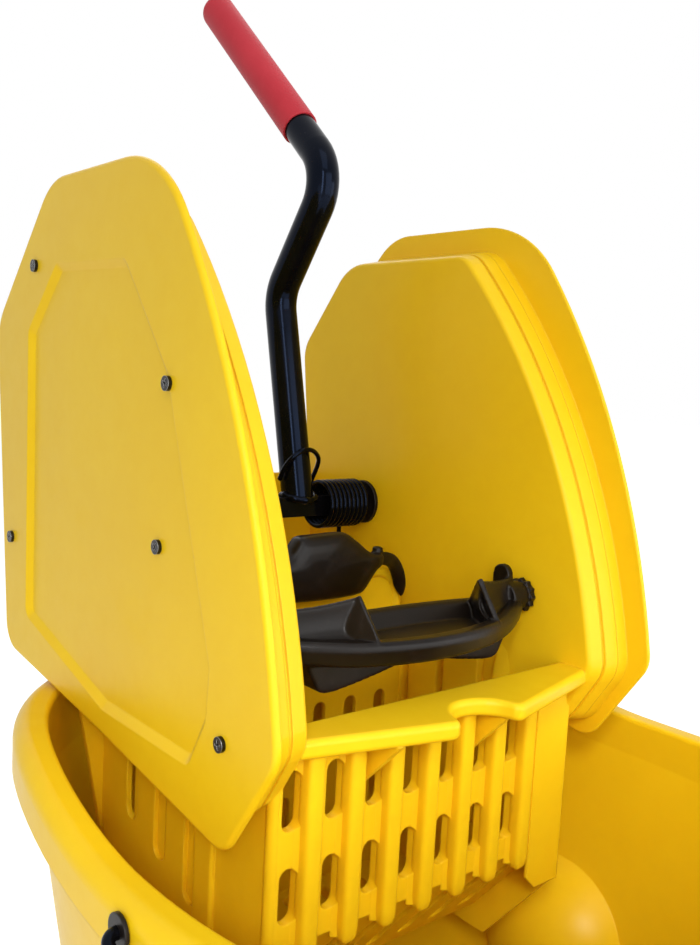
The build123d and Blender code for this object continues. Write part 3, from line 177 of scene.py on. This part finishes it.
def yellow_plastic():
    deep, bright = (0.85, 0.545, 0.006, 1), (0.89, 0.590, 0.010, 1)
    fleck = (0.80, 0.47, 0.005, 1)
    rubbed = (0.93, 0.68, 0.06, 1)
    # Dark orange used as painted shade in hollows and inner corners
    painted_shade = (0.82, 0.41, 0.003, 1)
    finish = Finish("yellow_plastic")
    cloud = finish.patches(0.3, 0.7, scale=5.0, detail=3.0)
    speck = finish.patches(0.35, 0.75, scale=70.0, detail=4.0, roughness=0.6)
    scuff = finish.patches(0.60, 0.72, scale=9.0, detail=5.0, roughness=0.65, stretch=(60.0, 1.0, 1.5))
    soft, worn = finish.corners(reach=0.0016)
    base = finish.blend(cloud, deep, bright)
    base = finish.blend(speck * 0.22, base, fleck)
    base = finish.blend(worn * 0.16, base, rubbed)
    # Painted shade: hollows and inner corners are darkened towards orange, by how closed in they are
    base = finish.blend(finish.crevice(reach=0.045) * 0.45, base, painted_shade)
    peel = finish.noise(scale=420.0)
    grain = finish.noise(scale=1500.0, detail=1.0)
    relief = peel * 0.6 + grain * 0.4 - scuff * 0.25
    return finish.done(finish.principled(
        Specular_IOR_Level=0.2,
        Base_Color=base,
        Roughness=0.29 + cloud * 0.07 + speck * 0.05 + scuff * 0.06,
        Normal=finish.bump(relief, strength=0.10, depth=0.0004, normal=soft),
    ))


def black_moulding():
    deep, pale = (0.004, 0.0024, 0.0015, 1), (0.010, 0.0066, 0.0046, 1)
    scratched = (0.036, 0.029, 0.026, 1)
    rubbed = (0.055, 0.049, 0.047, 1)
    finish = Finish("black_moulding")
    cloud = finish.patches(0.32, 0.70, scale=26.0, detail=5.0, roughness=0.6)
    scuff = finish.patches(0.55, 0.78, scale=30.0, detail=6.0, roughness=0.7, stretch=(1.0, 4.0, 1.0))
    soft, worn = finish.corners(reach=0.0012)
    base = finish.blend(cloud, deep, pale)
    base = finish.blend(scuff * 0.45, base, scratched)
    base = finish.blend(worn * 0.4, base, rubbed)
    grain = finish.noise(scale=900.0, detail=3.0)
    lump = finish.noise(scale=160.0)
    return finish.done(finish.principled(
        Specular_IOR_Level=0.2,
        Base_Color=base,
        Roughness=0.30 + cloud * 0.10 + scuff * 0.10,
        Normal=finish.bump(grain * 0.6 + lump * 0.4, strength=0.14, depth=0.0005, normal=soft),
    ))


def black_paint():
    deep, pale = (0.0018, 0.0016, 0.0017, 1), (0.0045, 0.004, 0.0045, 1)
    rubbed = (0.05, 0.047, 0.046, 1)
    finish = Finish("black_paint")
    cloud = finish.patches(0.3, 0.7, scale=30.0, detail=3.0)
    nick = finish.patches(0.66, 0.74, scale=240.0, detail=5.0, roughness=0.7)
    soft, worn = finish.corners(reach=0.0008)
    base = finish.blend(cloud, deep, pale)
    base = finish.blend(worn * 0.4 + nick * 0.3, base, rubbed)
    return finish.done(finish.principled(
        Specular_IOR_Level=0.15,
        # Reflections are tinted blue: a painted reflection colour, not a colour of the paint
        Specular_Tint=(0.34, 0.52, 1.0, 1),
        Base_Color=base,
        Roughness=0.12 + cloud * 0.06 + nick * 0.2,
        Normal=finish.bump(finish.noise(scale=170.0), strength=0.05, depth=0.0006, normal=soft),
    ))


def red_vinyl():
    deep, bright = (0.47, 0.020, 0.034, 1), (0.54, 0.034, 0.050, 1)
    faded = (0.66, 0.075, 0.095, 1)
    rubbed = (0.68, 0.10, 0.12, 1)
    finish = Finish("red_vinyl")
    cloud = finish.patches(0.3, 0.7, scale=18.0, detail=3.0)
    rub = finish.patches(0.55, 0.80, scale=40.0, detail=6.0, roughness=0.7, stretch=(1.0, 1.0, 0.2))
    soft, worn = finish.corners(reach=0.0012)
    base = finish.blend(cloud, deep, bright)
    base = finish.blend(rub * 0.25, base, faded)
    base = finish.blend(worn * 0.3, base, rubbed)
    grain = finish.noise(scale=650.0, detail=3.0)
    return finish.done(finish.principled(
        Specular_IOR_Level=0.2,
        Base_Color=base,
        Roughness=0.44 + cloud * 0.08 + rub * 0.10,
        Normal=finish.bump(grain, strength=0.16, depth=0.0004, normal=soft),
    ))


def metal(name, dark, light, smooth, brushed):
    bare = (0.75, 0.74, 0.72, 1)
    finish = Finish(name)
    cloud = finish.patches(0.3, 0.7, scale=90.0, detail=4.0)
    lines = finish.noise(scale=60.0, detail=4.0, roughness=0.6, stretch=brushed)
    soft, worn = finish.corners(reach=0.0006)
    base = finish.blend(cloud, dark, light)
    base = finish.blend(worn * 0.5, base, bare)
    return finish.done(finish.principled(
        Metallic=1.0,
        Base_Color=base,
        Roughness=smooth + cloud * 0.10 + lines * 0.08,
        Normal=finish.bump(lines, strength=0.05, depth=0.0003, normal=soft),
    ))


def dark_zinc():
    dark, light = (0.018, 0.018, 0.02, 1), (0.06, 0.06, 0.065, 1)
    return metal("dark_zinc", dark, light, smooth=0.24, brushed=(1.0, 1.0, 6.0))


def zinc_steel():
    dark, light = (0.42, 0.42, 0.43, 1), (0.60, 0.60, 0.60, 1)
    return metal("zinc_steel", dark, light, smooth=0.26, brushed=(6.0, 1.0, 1.0))


def grey_tyre():
    dark, light = (0.045, 0.045, 0.046, 1), (0.075, 0.075, 0.074, 1)
    dusty = (0.16, 0.15, 0.14, 1)
    finish = Finish("grey_tyre")
    cloud = finish.patches(0.3, 0.7, scale=60.0, detail=4.0)
    dust = finish.patches(0.5, 0.75, scale=35.0, detail=6.0, roughness=0.7)
    soft, worn = finish.corners(reach=0.0012)
    base = finish.blend(cloud, dark, light)
    base = finish.blend(dust * 0.4 + worn * 0.2, base, dusty)
    grain = finish.noise(scale=500.0, detail=3.0)
    return finish.done(finish.principled(
        Specular_IOR_Level=0.35,
        Base_Color=base,
        Roughness=0.60 + cloud * 0.08 + dust * 0.10,
        Normal=finish.bump(grain, strength=0.18, depth=0.0004, normal=soft),
    ))


finishes = {
    "yellow_plastic": yellow_plastic(),
    "black_plastic": black_moulding(),
    "black_paint": black_paint(),
    "red_vinyl": red_vinyl(),
    "dark_zinc": dark_zinc(),
    "zinc_steel": zinc_steel(),
    "grey_tyre": grey_tyre(),
}

for part in frame["record"]["subparts"]:
    node = nodes[part["node"]]
    node.data.materials.clear()
    node.data.materials.append(finishes[part["material_slot"]])


# Ways of shaping the pieces made here

SIDES = (-1, 1)
SHARP_ANGLE = math.radians(40)
WIRE_END = 0.7


def mixed(first, last, share):
    """A value at a share of the way from the first to the last."""
    return first + (last - first) * share


def swell(value, low, high):
    """Nought below low, one above high, and smooth between."""
    t = min(max((value - low) / (high - low), 0.0), 1.0)
    return t * t * (3 - 2 * t)


def flowing(points, steps):
    """Points along a smooth line through the given ones."""
    line = []
    for index in range(len(points) - 1):
        before = points[max(index - 1, 0)]
        here = points[index]
        there = points[index + 1]
        after = points[min(index + 2, len(points) - 1)]
        for step in range(steps):
            t = step / steps
            bend = 2 * before - 5 * here + 4 * there - after
            twist = 3 * here - before - 3 * there + after
            line.append(here + ((there - before) * t + bend * t ** 2 + twist * t ** 3) / 2)
    line.append(points[-1])
    return line


def circle(across, up, radius, count):
    """Points of a circle about a middle."""
    angles = [math.tau * step / count for step in range(count)]
    return [(across + radius * math.cos(angle), up + radius * math.sin(angle)) for angle in angles]


def rounded(half_wide, half_tall, power, count):
    """Points of a box with round corners, about nought."""
    return [
        (
            half_wide * math.copysign(abs(c) ** (2 / power), c),
            half_tall * math.copysign(abs(s) ** (2 / power), s),
        )
        for c, s in circle(0, 0, 1, count)
    ]


def heading(line, index):
    """The direction of a line of points at one of them."""
    return (line[min(index + 1, len(line) - 1)] - line[max(index - 1, 0)]).normalized()


def shell(mesh, rings, loop=False):
    """Joins a row of equal rings of points into a closed shell."""
    rows = [[mesh.verts.new(point) for point in ring] for ring in rings]
    for index in range(len(rows) if loop else len(rows) - 1):
        first = rows[index]
        second = rows[(index + 1) % len(rows)]
        for corner in range(len(first)):
            following = (corner + 1) % len(first)
            mesh.faces.new((first[corner], first[following], second[following], second[corner]))
    if not loop:
        mesh.faces.new(reversed(rows[0]))
        mesh.faces.new(rows[-1])


def bar(mesh, outline, ends):
    """A bar along X between two ends, from an outline of y and z."""
    shell(mesh, [[at(x, y, z) for y, z in outline] for x in ends])


def slab(mesh, outline, ends):
    """A slab along Y between two ends, from an outline of x and z."""
    shell(mesh, [[at(x, y, z) for x, z in outline] for y in ends])


def wire(mesh, line, radius, sides=14):
    """A round wire along a line of points, with eased ends."""
    side = heading(line, 0).orthogonal().normalized()
    rings = []
    for index, point in enumerate(line):
        ahead = heading(line, index)
        side = (side - ahead * side.dot(ahead)).normalized()
        across = ahead.cross(side)
        size = radius * (WIRE_END if index in (0, len(line) - 1) else 1.0)
        rings.append([point + (side * c + across * s) * size for c, s in circle(0, 0, 1, sides)])
    shell(mesh, rings)


def finished(name, mesh, body, slot, stands_for=(), melt=None, passes=0):
    """Turns the shells into one piece of the object, melted together where a grain is given."""
    bmesh.ops.recalc_face_normals(mesh, faces=mesh.faces)
    data = bpy.data.meshes.new(name)
    mesh.to_mesh(data)
    mesh.free()
    made = bpy.data.objects.new(name, data)
    bpy.context.scene.collection.objects.link(made)
    if melt:
        joined = made.modifiers.new("melt", "REMESH")
        joined.mode = "VOXEL"
        joined.voxel_size = melt
        eased = made.modifiers.new("ease", "SMOOTH")
        eased.iterations = passes
        bpy.context.view_layer.update()
        shape = made.evaluated_get(bpy.context.evaluated_depsgraph_get())
        made.modifiers.clear()
        made.data = bpy.data.meshes.new_from_object(shape)
        made.data.name = name
    made.data.polygons.foreach_set("use_smooth", [True] * len(made.data.polygons))
    if not melt:
        made.data.set_sharp_from_angle(angle=SHARP_ANGLE)
    made.data.materials.clear()
    made.data.materials.append(finishes[slot])
    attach(made, body)
    if stands_for:
        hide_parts(*stands_for)


# Torsion spring: hook round the foot of the tube, nine turns, straight leg

SHAFT_Y = 202.5
SHAFT_Z = 527.0
SPRING_X = 66
SPRING_PITCH = 4.4
SPRING_RADIUS = 18
SPRING_TURNS = 9
SPRING_WIRE = 3.8
SPRING_LEG = (500, 456)
STEPS_PER_TURN = 44


def coil(turn):
    """A point of the coil, so many turns from its left end."""
    angle = -math.tau * turn
    return at(
        SPRING_X + SPRING_PITCH * turn,
        SHAFT_Y + SPRING_RADIUS * math.cos(angle),
        SHAFT_Z + SPRING_RADIUS * math.sin(angle),
    )


def coil_spring():
    hook = [
        at(29, 204, 547.8),
        at(29, 198, 558.2),
        at(33, 192, 567.4),
        at(43, 191.5, 572.5),
        at(54, 194.5, 571.3),
        at(64, 200.5, 565.2),
        at(68.5, 207, 558),
        at(69.5, 213, 549),
        coil(0),
    ]
    leg_x = SPRING_X + SPRING_PITCH * SPRING_TURNS
    leg = [coil(SPRING_TURNS)] + [at(leg_x, SHAFT_Y + SPRING_RADIUS, z) for z in SPRING_LEG]
    line = flowing(hook, steps=9)
    line += [coil(step / STEPS_PER_TURN) for step in range(1, SPRING_TURNS * STEPS_PER_TURN)]
    line += flowing(leg, steps=6)
    spring = bmesh.new()
    wire(spring, line, SPRING_WIRE / 2 * MM)
    finished("coil_spring", spring, "handle", "black_paint", ("torsion_spring",))


# Weld bead where the tube stands on the square shaft

TUBE_X = 45
TUBE_Y = 199.6
WELD_RADIUS = 13.4
WELD_TOP = 536.4
WELD_DROP = 3.2
WELD_SIZE = 2.7
WELD_LUMPS = 1.5
WELD_LUMP_SCALE = 3
WELD_LUMP_PLACE = 7.3
WELD_STEPS = 72


def handle_weld():
    rings = []
    for c, s in circle(0, 0, 1, WELD_STEPS):
        lump = noise.noise(Vector((WELD_LUMP_SCALE * c, WELD_LUMP_SCALE * s, WELD_LUMP_PLACE)))
        middle = at(TUBE_X + WELD_RADIUS * c, TUBE_Y + WELD_RADIUS * s, WELD_TOP - WELD_DROP * abs(s))
        out = Vector((c, s, 0))
        size = (WELD_SIZE + WELD_LUMPS * lump) * MM
        rings.append([middle + (out * a + Vector((0, 0, b))) * size for a, b in circle(0, 0, 1, count=10)])
    weld = bmesh.new()
    shell(weld, rings, loop=True)
    finished("handle_weld", weld, "handle", "black_paint")


# Press plate: curved rim, tray, scooped ears, posts, hubs and a wavy skirt

AXLE_Y = 24
AXLE_Z = 485
PRESS_HALF = 103
FRONT_MIDDLE = -23.5
FRONT_BOW = 35.5
BACK_MIDDLE = 50
BACK_BOW = 14
RIM_HALF = 102
RIM_LIFT = 1.6
RIM_LIFT_FROM = 60
TRAY_HALF = 100
TRAY_FRONT = 7
TRAY_LEVELS = (468.4, 472.6)
RIDGE_HALF = 82
EAR_BASE = 470
EAR_FOOT = 481
EAR_LIP = 0.4
EAR_SAG = 1.8
EAR_CREST = (1.5, 3.5)
EAR_CURVE = 0.6
EAR_CURVE_STEPS = 12
EAR_RINGS = 18
GUSSET_CORNERS = ((49, -13.5, 480.5), (50.5, 6.5, 506), (78.5, 40, 480.5))
GUSSET_FACES = (-2.2, 1.6)
POST_Y = 29
POST_Z = 500.5
POST_RADIUS = 7
POST_FOOT = 484
POST_ENDS = (97, 102.5)
HUB_RADIUS = 10.4
HUB_ENDS = (96, 110)
SKIRT_WAVE = ((86, 471), (80, 458), (71, 449.7), (39, 453.3), (0, 461))
SKIRT_ENDS = (9, 34)
PRESS_GRAIN = 0.9


def front_bow(x):
    return FRONT_MIDDLE + FRONT_BOW * (x / PRESS_HALF) ** 2


def back_bow(x):
    return BACK_MIDDLE - BACK_BOW * (x / PRESS_HALF) ** 2


def stations(half, steps):
    """Even places along X from minus half to half."""
    return [half * step / steps for step in range(-steps, steps + 1)]


def press_rim(press):
    """The rounded rim, from a section of depths behind the front edge and heights."""
    section = [
        (0.4, 480.6), (2.2, 482.6), (9, 482.6), (10.8, 480.6), (10.8, 469.5),
        (9, 468), (3.8, 467.8), (1.8, 469.4), (0, 477.5),
    ]
    rings = []
    for x in stations(RIM_HALF, steps=30):
        inward = Vector((-2 * FRONT_BOW * x / PRESS_HALF ** 2, 1, 0)).normalized()
        lift = RIM_LIFT * swell(abs(x), RIM_LIFT_FROM, RIM_HALF)
        rings.append([at(x, front_bow(x), z + lift) + inward * depth * MM for depth, z in section])
    shell(press, rings)


def press_tray(press):
    places = stations(TRAY_HALF, steps=24)
    plan = [(x, front_bow(x) + TRAY_FRONT) for x in places]
    plan += [(x, back_bow(x)) for x in reversed(places)]
    shell(press, [[at(x, y, z) for x, y in plan] for z in TRAY_LEVELS])


def press_ridge(press):
    """The raised back edge, from a section of distances before it and heights."""
    section = [
        (16, 471), (14, 474), (8, 482), (5.5, 483.2), (1.2, 483.2), (0, 481.8), (0, 469), (16, 469),
    ]
    rings = []
    for x in stations(RIDGE_HALF, steps=20):
        rings.append([at(x, back_bow(x) - before, z) for before, z in section])
    shell(press, rings)


def ear_ring(side, share):
    """Outline of an ear from its slanting inner face, share 0, to the hub, share 1."""
    foot_x = mixed(49, 103, share)
    foot_y = front_bow(foot_x) + mixed(4, 8, share)
    crest_x = mixed(51, 103, share)
    crest_y = mixed(6, 22.5, share)
    crest_z = mixed(504.4, 499, share) - EAR_SAG * math.sin(math.pi * share)
    heel_x = mixed(76, 104, share)
    heel_y = mixed(37.5, 36.5, share)
    ring = [(foot_x, foot_y, EAR_BASE), (foot_x, foot_y, EAR_FOOT)]
    for step in range(1, EAR_CURVE_STEPS):
        angle = math.pi / 2 * step / EAR_CURVE_STEPS
        along = math.sin(angle) ** EAR_CURVE
        rise = 1 - math.cos(angle) ** EAR_CURVE
        ring.append((
            mixed(foot_x, crest_x, rise),
            mixed(foot_y, crest_y, along),
            mixed(EAR_FOOT + EAR_LIP, crest_z, rise),
        ))
    ring.append((crest_x, crest_y, crest_z))
    ring.append((crest_x + EAR_CREST[0], crest_y + EAR_CREST[1], crest_z))
    ring.append((heel_x, heel_y, EAR_FOOT))
    ring.append((heel_x, heel_y, EAR_BASE))
    return [at(side * x, y, z) for x, y, z in ring]


def press_end(press, side):
    """An ear with its gusset plate, post and hub."""
    shell(press, [ear_ring(side, step / EAR_RINGS) for step in range(EAR_RINGS + 1)])
    corners = [Vector(corner) for corner in GUSSET_CORNERS]
    slant = (corners[1] - corners[0]).cross(corners[2] - corners[0]).normalized()
    sheets = [[corner + slant * depth for corner in corners] for depth in GUSSET_FACES]
    shell(press, [[at(side * p.x, p.y, p.z) for p in sheet] for sheet in sheets])
    round_top = circle(POST_Y, POST_Z, POST_RADIUS, count=24)[:13]
    foot = [(POST_Y - POST_RADIUS, POST_FOOT), (POST_Y + POST_RADIUS, POST_FOOT)]
    bar(press, round_top + foot, [side * x for x in POST_ENDS])
    bar(press, circle(AXLE_Y, AXLE_Z, HUB_RADIUS, count=40), [side * x for x in HUB_ENDS])


def press_skirt(press):
    half = flowing([Vector((x, 0, z)) for x, z in SKIRT_WAVE], steps=6)
    outline = [(-point.x, point.z) for point in half]
    outline += [(point.x, point.z) for point in reversed(half[:-1])]
    slab(press, outline, SKIRT_ENDS)


def press_casting():
    press = bmesh.new()
    press_rim(press)
    press_tray(press)
    press_ridge(press)
    for side in SIDES:
        press_end(press, side)
    press_skirt(press)
    stands_for = ("press_plate",)
    finished("press_casting", press, "press", "black_plastic", stands_for, melt=PRESS_GRAIN * MM, passes=2)


# Axles of the press plate, each turned with a scalloped collar, a square and an end stub

AXLE_STEPS = (
    (96, 10, "round"),
    (111.4, 10, "round"),
    (111.6, 10.4, "star"),
    (112.2, 11.2, "star"),
    (116, 11.2, "star"),
    (116.6, 10.4, "star"),
    (116.8, 10, "round"),
    (123.6, 10, "round"),
    (124, 9.6, "round"),
    (124.1, 6.5, "square"),
    (131.7, 6.5, "square"),
    (132, 6.2, "round"),
    (132.2, 6, "round"),
    (146, 6, "round"),
    (146.6, 5.4, "round"),
)
AXLE_POINTS = 48
SCALLOPS = 12
SCALLOP_DEPTH = 1.0


def axle_ring(side, x, radius, shape):
    ring = []
    for step in range(AXLE_POINTS):
        angle = math.tau * step / AXLE_POINTS
        reach = radius
        if shape == "star":
            reach += SCALLOP_DEPTH * math.cos(SCALLOPS * angle)
        if shape == "square":
            reach /= max(abs(math.cos(angle)), abs(math.sin(angle)))
        ring.append(at(side * x, AXLE_Y + reach * math.cos(angle), AXLE_Z + reach * math.sin(angle)))
    return ring


def press_axles():
    axles = bmesh.new()
    for side in SIDES:
        shell(axles, [axle_ring(side, *step) for step in AXLE_STEPS])
    finished("press_axles", axles, "press", "black_plastic", ("press_axle_left", "press_axle_right"))


# Back pad: crowned face, neck straps twisting over the arch behind it

PAD_Z = 495
PAD_GRAIN = 1.0
STRAP_FACING = (-0.55, -0.8, 0.2)
STRAP_HALF_WIDE = 4.6
STRAP_BULGE = 1.0
STRAP_TAPER = 3.2
STRAP_TAPER_FROM = 0.72
STRAP_HALF_THICK = 2.6
STRAP_ROUNDNESS = 2.6
KNOB_X = 68
KNOB_Y = 127
KNOB_FOOT = 497
KNOB_HEIGHT = 8
KNOB_RADIUS = 4.2
PEG_X = 28
PEG_Z = 478
PEG_RADIUS = 6
PEG_ENDS = (127, 139.6)


def pad_face(pad):
    """The crowned face, from its edge and from shares of the edge at places along Y."""
    edge_points = [
        (0, 518.8), (18, 519.2), (28, 519.2), (33.5, 518), (38, 515.2), (46, 510), (53, 504.8),
        (60, 501.2), (69, 499.8), (70, 496), (69, 492), (64, 488.5), (59, 482.5), (53, 475),
        (47, 471.8), (30, 470.6), (10, 470.6), (-10, 471.4), (-30, 472.5), (-48, 474), (-57, 482),
        (-64, 490), (-69, 492.5), (-70, 496), (-69, 499.5), (-52, 501), (-38, 502.4), (-27, 504),
        (-19.5, 507), (-14.5, 513), (-10.5, 517.6), (-5, 518.7),
    ]
    crown = [
        (131, 0.94), (129.5, 0.98), (125, 1.0), (121.5, 0.99), (119, 0.96),
        (117, 0.88), (115.4, 0.74), (114.4, 0.54), (113.8, 0.28),
    ]
    loop = [Vector((x, 0, z)) for x, z in edge_points]
    edge = [(p.x, p.z) for p in flowing(loop + loop[:1], steps=4)[:-1]]
    rings = []
    for y, share in crown:
        rings.append([at(x * share, y, mixed(PAD_Z, z, share)) for x, z in edge])
    shell(pad, rings)


def pad_strap(pad, side):
    route = [
        (58, 124, 496.5), (68, 124.5, 496.3), (77, 126, 495), (85, 128.5, 491.5), (91, 130.5, 486),
        (95.5, 132, 479.5), (98.5, 133, 472), (100.5, 133.5, 466), (101.5, 134, 462.5),
    ]
    line = flowing([at(side * x, y, z) for x, y, z in route], steps=6)
    rings = []
    for index, point in enumerate(line):
        ahead = heading(line, index)
        share = index / (len(line) - 1)
        thick = Vector((STRAP_FACING[0] * side, STRAP_FACING[1], STRAP_FACING[2]))
        thick = (thick - ahead * thick.dot(ahead)).normalized()
        wide = ahead.cross(thick)
        half = STRAP_HALF_WIDE + STRAP_BULGE * math.sin(math.pi * share)
        half -= STRAP_TAPER * swell(share, STRAP_TAPER_FROM, 1.0)
        section = rounded(half, STRAP_HALF_THICK, STRAP_ROUNDNESS, count=16)
        rings.append([point + (wide * a + thick * b) * MM for a, b in section])
    shell(pad, rings)


def press_pad():
    pad = bmesh.new()
    pad_face(pad)
    for side in SIDES:
        pad_strap(pad, side)
        foot = at(side * KNOB_X, KNOB_Y, KNOB_FOOT)
        knob = [foot + Vector((0, 0, MM)) * step for step in range(KNOB_HEIGHT + 1)]
        wire(pad, knob, KNOB_RADIUS * MM)
        slab(pad, circle(side * PEG_X, PEG_Z, PEG_RADIUS, count=20), PEG_ENDS)
    finished("press_pad", pad, "wringer", "black_plastic", ("back_pad",), melt=PAD_GRAIN * MM, passes=4)


# Rounded edge of the arch behind the pad

ARCH_HALF = 102
ARCH_Y = 142
ARCH_CORNER = 21
ARCH_CORNER_Z = 461
ARCH_LEG = (426, 445)
ARCH_BEAD = 5.0
ARCH_STEPS = 12


def arch_bead():
    line = [at(-ARCH_HALF, ARCH_Y, z) for z in ARCH_LEG]
    for start, side in ((180, -1), (90, 1)):
        for step in range(ARCH_STEPS + 1):
            turn = math.radians(start - 90 * step / ARCH_STEPS)
            x = side * (ARCH_HALF - ARCH_CORNER) + ARCH_CORNER * math.cos(turn)
            line.append(at(x, ARCH_Y, ARCH_CORNER_Z + ARCH_CORNER * math.sin(turn)))
    line += [at(ARCH_HALF, ARCH_Y, z) for z in reversed(ARCH_LEG)]
    arch = bmesh.new()
    wire(arch, line, ARCH_BEAD * MM, sides=20)
    finished("arch_bead", arch, "wringer", "yellow_plastic")


# Panels between the grooves of the basket's side walls

WALL_FACE = 117
PANEL_ROOT = 1
PANEL_BACK = -0.9
FLAT_PANELS = ((57, 92.4), (99.1, 130.2), (137.3, 143))
FLAT_LEVELS = ((303, 0.7), (305, 1.0), (438, 1.0), (441, 0.9), (447, 0.2))
RAKED_LEVELS = ((303, 0.7), (305, 1.0), (405, 1.0), (418, 0.9), (430, 0.65), (440, 0.35), (448, 0.0))


def flat_panel(near, far):
    """Section of a panel: places along Y and depths off the wall."""
    rise = [(0, PANEL_BACK), (0, 4.8), (0.6, 6), (2, 6.6)]
    return [(near + y, p) for y, p in rise] + [(far - y, p) for y, p in reversed(rise)]


def basket_panels():
    """Each panel keeps a share of its depth at each height."""
    raked = [
        (27, PANEL_BACK), (30, -0.3), (36, 2.6), (40.5, 5.4), (42.6, 6.4), (43.6, 6), (44, 4.8),
        (44, PANEL_BACK),
    ]
    sections = [(raked, RAKED_LEVELS)]
    sections += [(flat_panel(near, far), FLAT_LEVELS) for near, far in FLAT_PANELS]
    panels = bmesh.new()
    for side in SIDES:
        for section, levels in sections:
            rings = []
            for z, share in levels:
                faces = [(WALL_FACE + PANEL_ROOT - (p + PANEL_ROOT) * share, y) for y, p in section]
                rings.append([at(side * x, y, z) for x, y in faces])
            shell(panels, rings)
    finished("basket_panels", panels, "wringer", "yellow_plastic")


# Full, round-edged ribs of the front wall, each with a round foot

RIB_COUNT = 7
RIB_FIRST_X = -102.2
RIB_STEP = 29.2
RIB_Y = -22.2
RIB_HALF_WIDE = 5.7
RIB_HALF_DEEP = 5.8
RIB_ROUNDNESS = 3.6
RIB_LEVELS = ((314.4, 0.3), (315.1, 0.54), (316.3, 0.72), (318, 0.86), (321, 0.96), (325, 1.0), (433.5, 1.0))


def front_ribs():
    section = rounded(RIB_HALF_WIDE, RIB_HALF_DEEP, RIB_ROUNDNESS, count=36)
    ribs = bmesh.new()
    for index in range(RIB_COUNT):
        middle = RIB_FIRST_X + RIB_STEP * index
        rings = []
        for z, share in RIB_LEVELS:
            rings.append([at(middle + a * share, RIB_Y + b * share, z) for a, b in section])
        shell(ribs, rings)
    finished("front_ribs", ribs, "wringer", "yellow_plastic")


coil_spring()
handle_weld()
press_casting()
press_axles()
press_pad()
arch_bead()
basket_panels()
front_ribs()


# Floor, light and camera

FLOOR_SIZE = 30
FLOOR_GLOW = 0.6
ROOM_LIGHT = 0.46
SPOT_RADIUS = 0.2
CAMERA_RIGHT = (0.7708, -0.6349, 0.0522)
CAMERA_UP = (0.0259, 0.1131, 0.9932)
CAMERA_PLACE = (-411.5, -411.3, 635.25)
CAMERA_SENSOR = 36
CAMERA_LENS = 36.71
CAMERA_NEAR = 0.01


def pale_floor():
    finish = Finish("pale_floor")
    shade = finish.noise(scale=3.0)
    paint = finish.principled(
        Roughness=0.9,
        Specular_IOR_Level=0.1,
        Base_Color=finish.blend(shade, (0.88, 0.88, 0.88, 1), (0.92, 0.92, 0.92, 1)),
    )
    glow = finish.node("ShaderNodeEmission", inputs={"Color": WHITE, "Strength": FLOOR_GLOW})
    both = finish.node("ShaderNodeAddShader", inputs={0: paint, 1: glow})
    return finish.done(finish.where_seen(paint, both))


bpy.ops.mesh.primitive_plane_add(size=FLOOR_SIZE, location=(0, 0, 0))
floor = bpy.context.object
floor.name = "floor"
floor.data.materials.append(pale_floor())

world = bpy.data.worlds.new("studio")
bpy.context.scene.world = world
studio = Shading(world)
room = studio.node("ShaderNodeBackground", inputs={"Color": WHITE, "Strength": ROOM_LIGHT})
white = studio.node("ShaderNodeBackground", inputs={"Color": WHITE, "Strength": 1.0})
studio.node("ShaderNodeOutputWorld", inputs={"Surface": studio.where_seen(room, white)})


def put_up(name, light, place, aim):
    holder = bpy.data.objects.new(name, light)
    holder.location = place
    holder.rotation_euler = (Vector(aim) - Vector(place)).to_track_quat("-Z", "Y").to_euler()
    bpy.context.scene.collection.objects.link(holder)


def lamp(name, place, aim, wide, tall, power):
    light = bpy.data.lights.new(name, "AREA")
    light.shape = "RECTANGLE"
    light.size = wide
    light.size_y = tall
    light.energy = power
    put_up(name, light, place, aim)


def spot(name, place, aim, cone, power):
    light = bpy.data.lights.new(name, "SPOT")
    light.energy = power
    light.spot_size = math.radians(cone)
    light.spot_blend = 1.0
    light.shadow_soft_size = SPOT_RADIUS
    put_up(name, light, place, aim)


lamp("low", place=(-1.35, -1.0, 0.35), aim=(-0.1, 0, 0.5), wide=1.0, tall=1.0, power=2.6)
lamp("fill", place=(0.25, -2.2, 0.9), aim=(0, 0, 0.42), wide=1.7, tall=1.6, power=21)
lamp("right", place=(1.5, -1.7, 0.6), aim=(0, 0, 0.45), wide=1.0, tall=1.0, power=8)
lamp("top", place=(-0.5, -1.3, 2.3), aim=(0.1, -0.1, 0.35), wide=1.3, tall=1.3, power=8)
lamp("strip", place=(-1.25, -1.6, 1.0), aim=(0, 0.1, 0.6), wide=0.28, tall=1.4, power=11)
lamp("back", place=(0.8, 1.8, 2.2), aim=(0, 0, 0.6), wide=1.4, tall=1.4, power=8)
spot("into_bucket", place=(-0.9, -1.0, 1.3), aim=(0.22, -0.12, 0.32), cone=19, power=66)
spot("beside_basket", place=(-1.0, -1.37, 1.2), aim=(-0.18, -0.04, 0.34), cone=15, power=75)

camera = bpy.data.objects.new("camera", bpy.data.cameras.new("camera"))
up = Vector(CAMERA_UP)
back = Vector(CAMERA_RIGHT).cross(up).normalized()
right = up.cross(back).normalized()
pose = Matrix((right, up, back)).transposed().to_4x4()
pose.translation = at(*CAMERA_PLACE)
camera.matrix_world = pose
camera.data.sensor_width = CAMERA_SENSOR
camera.data.lens = CAMERA_LENS
camera.data.clip_start = CAMERA_NEAR
bpy.context.scene.collection.objects.link(camera)
bpy.context.scene.camera = camera
bpy.context.scene.view_settings.view_transform = "Standard"
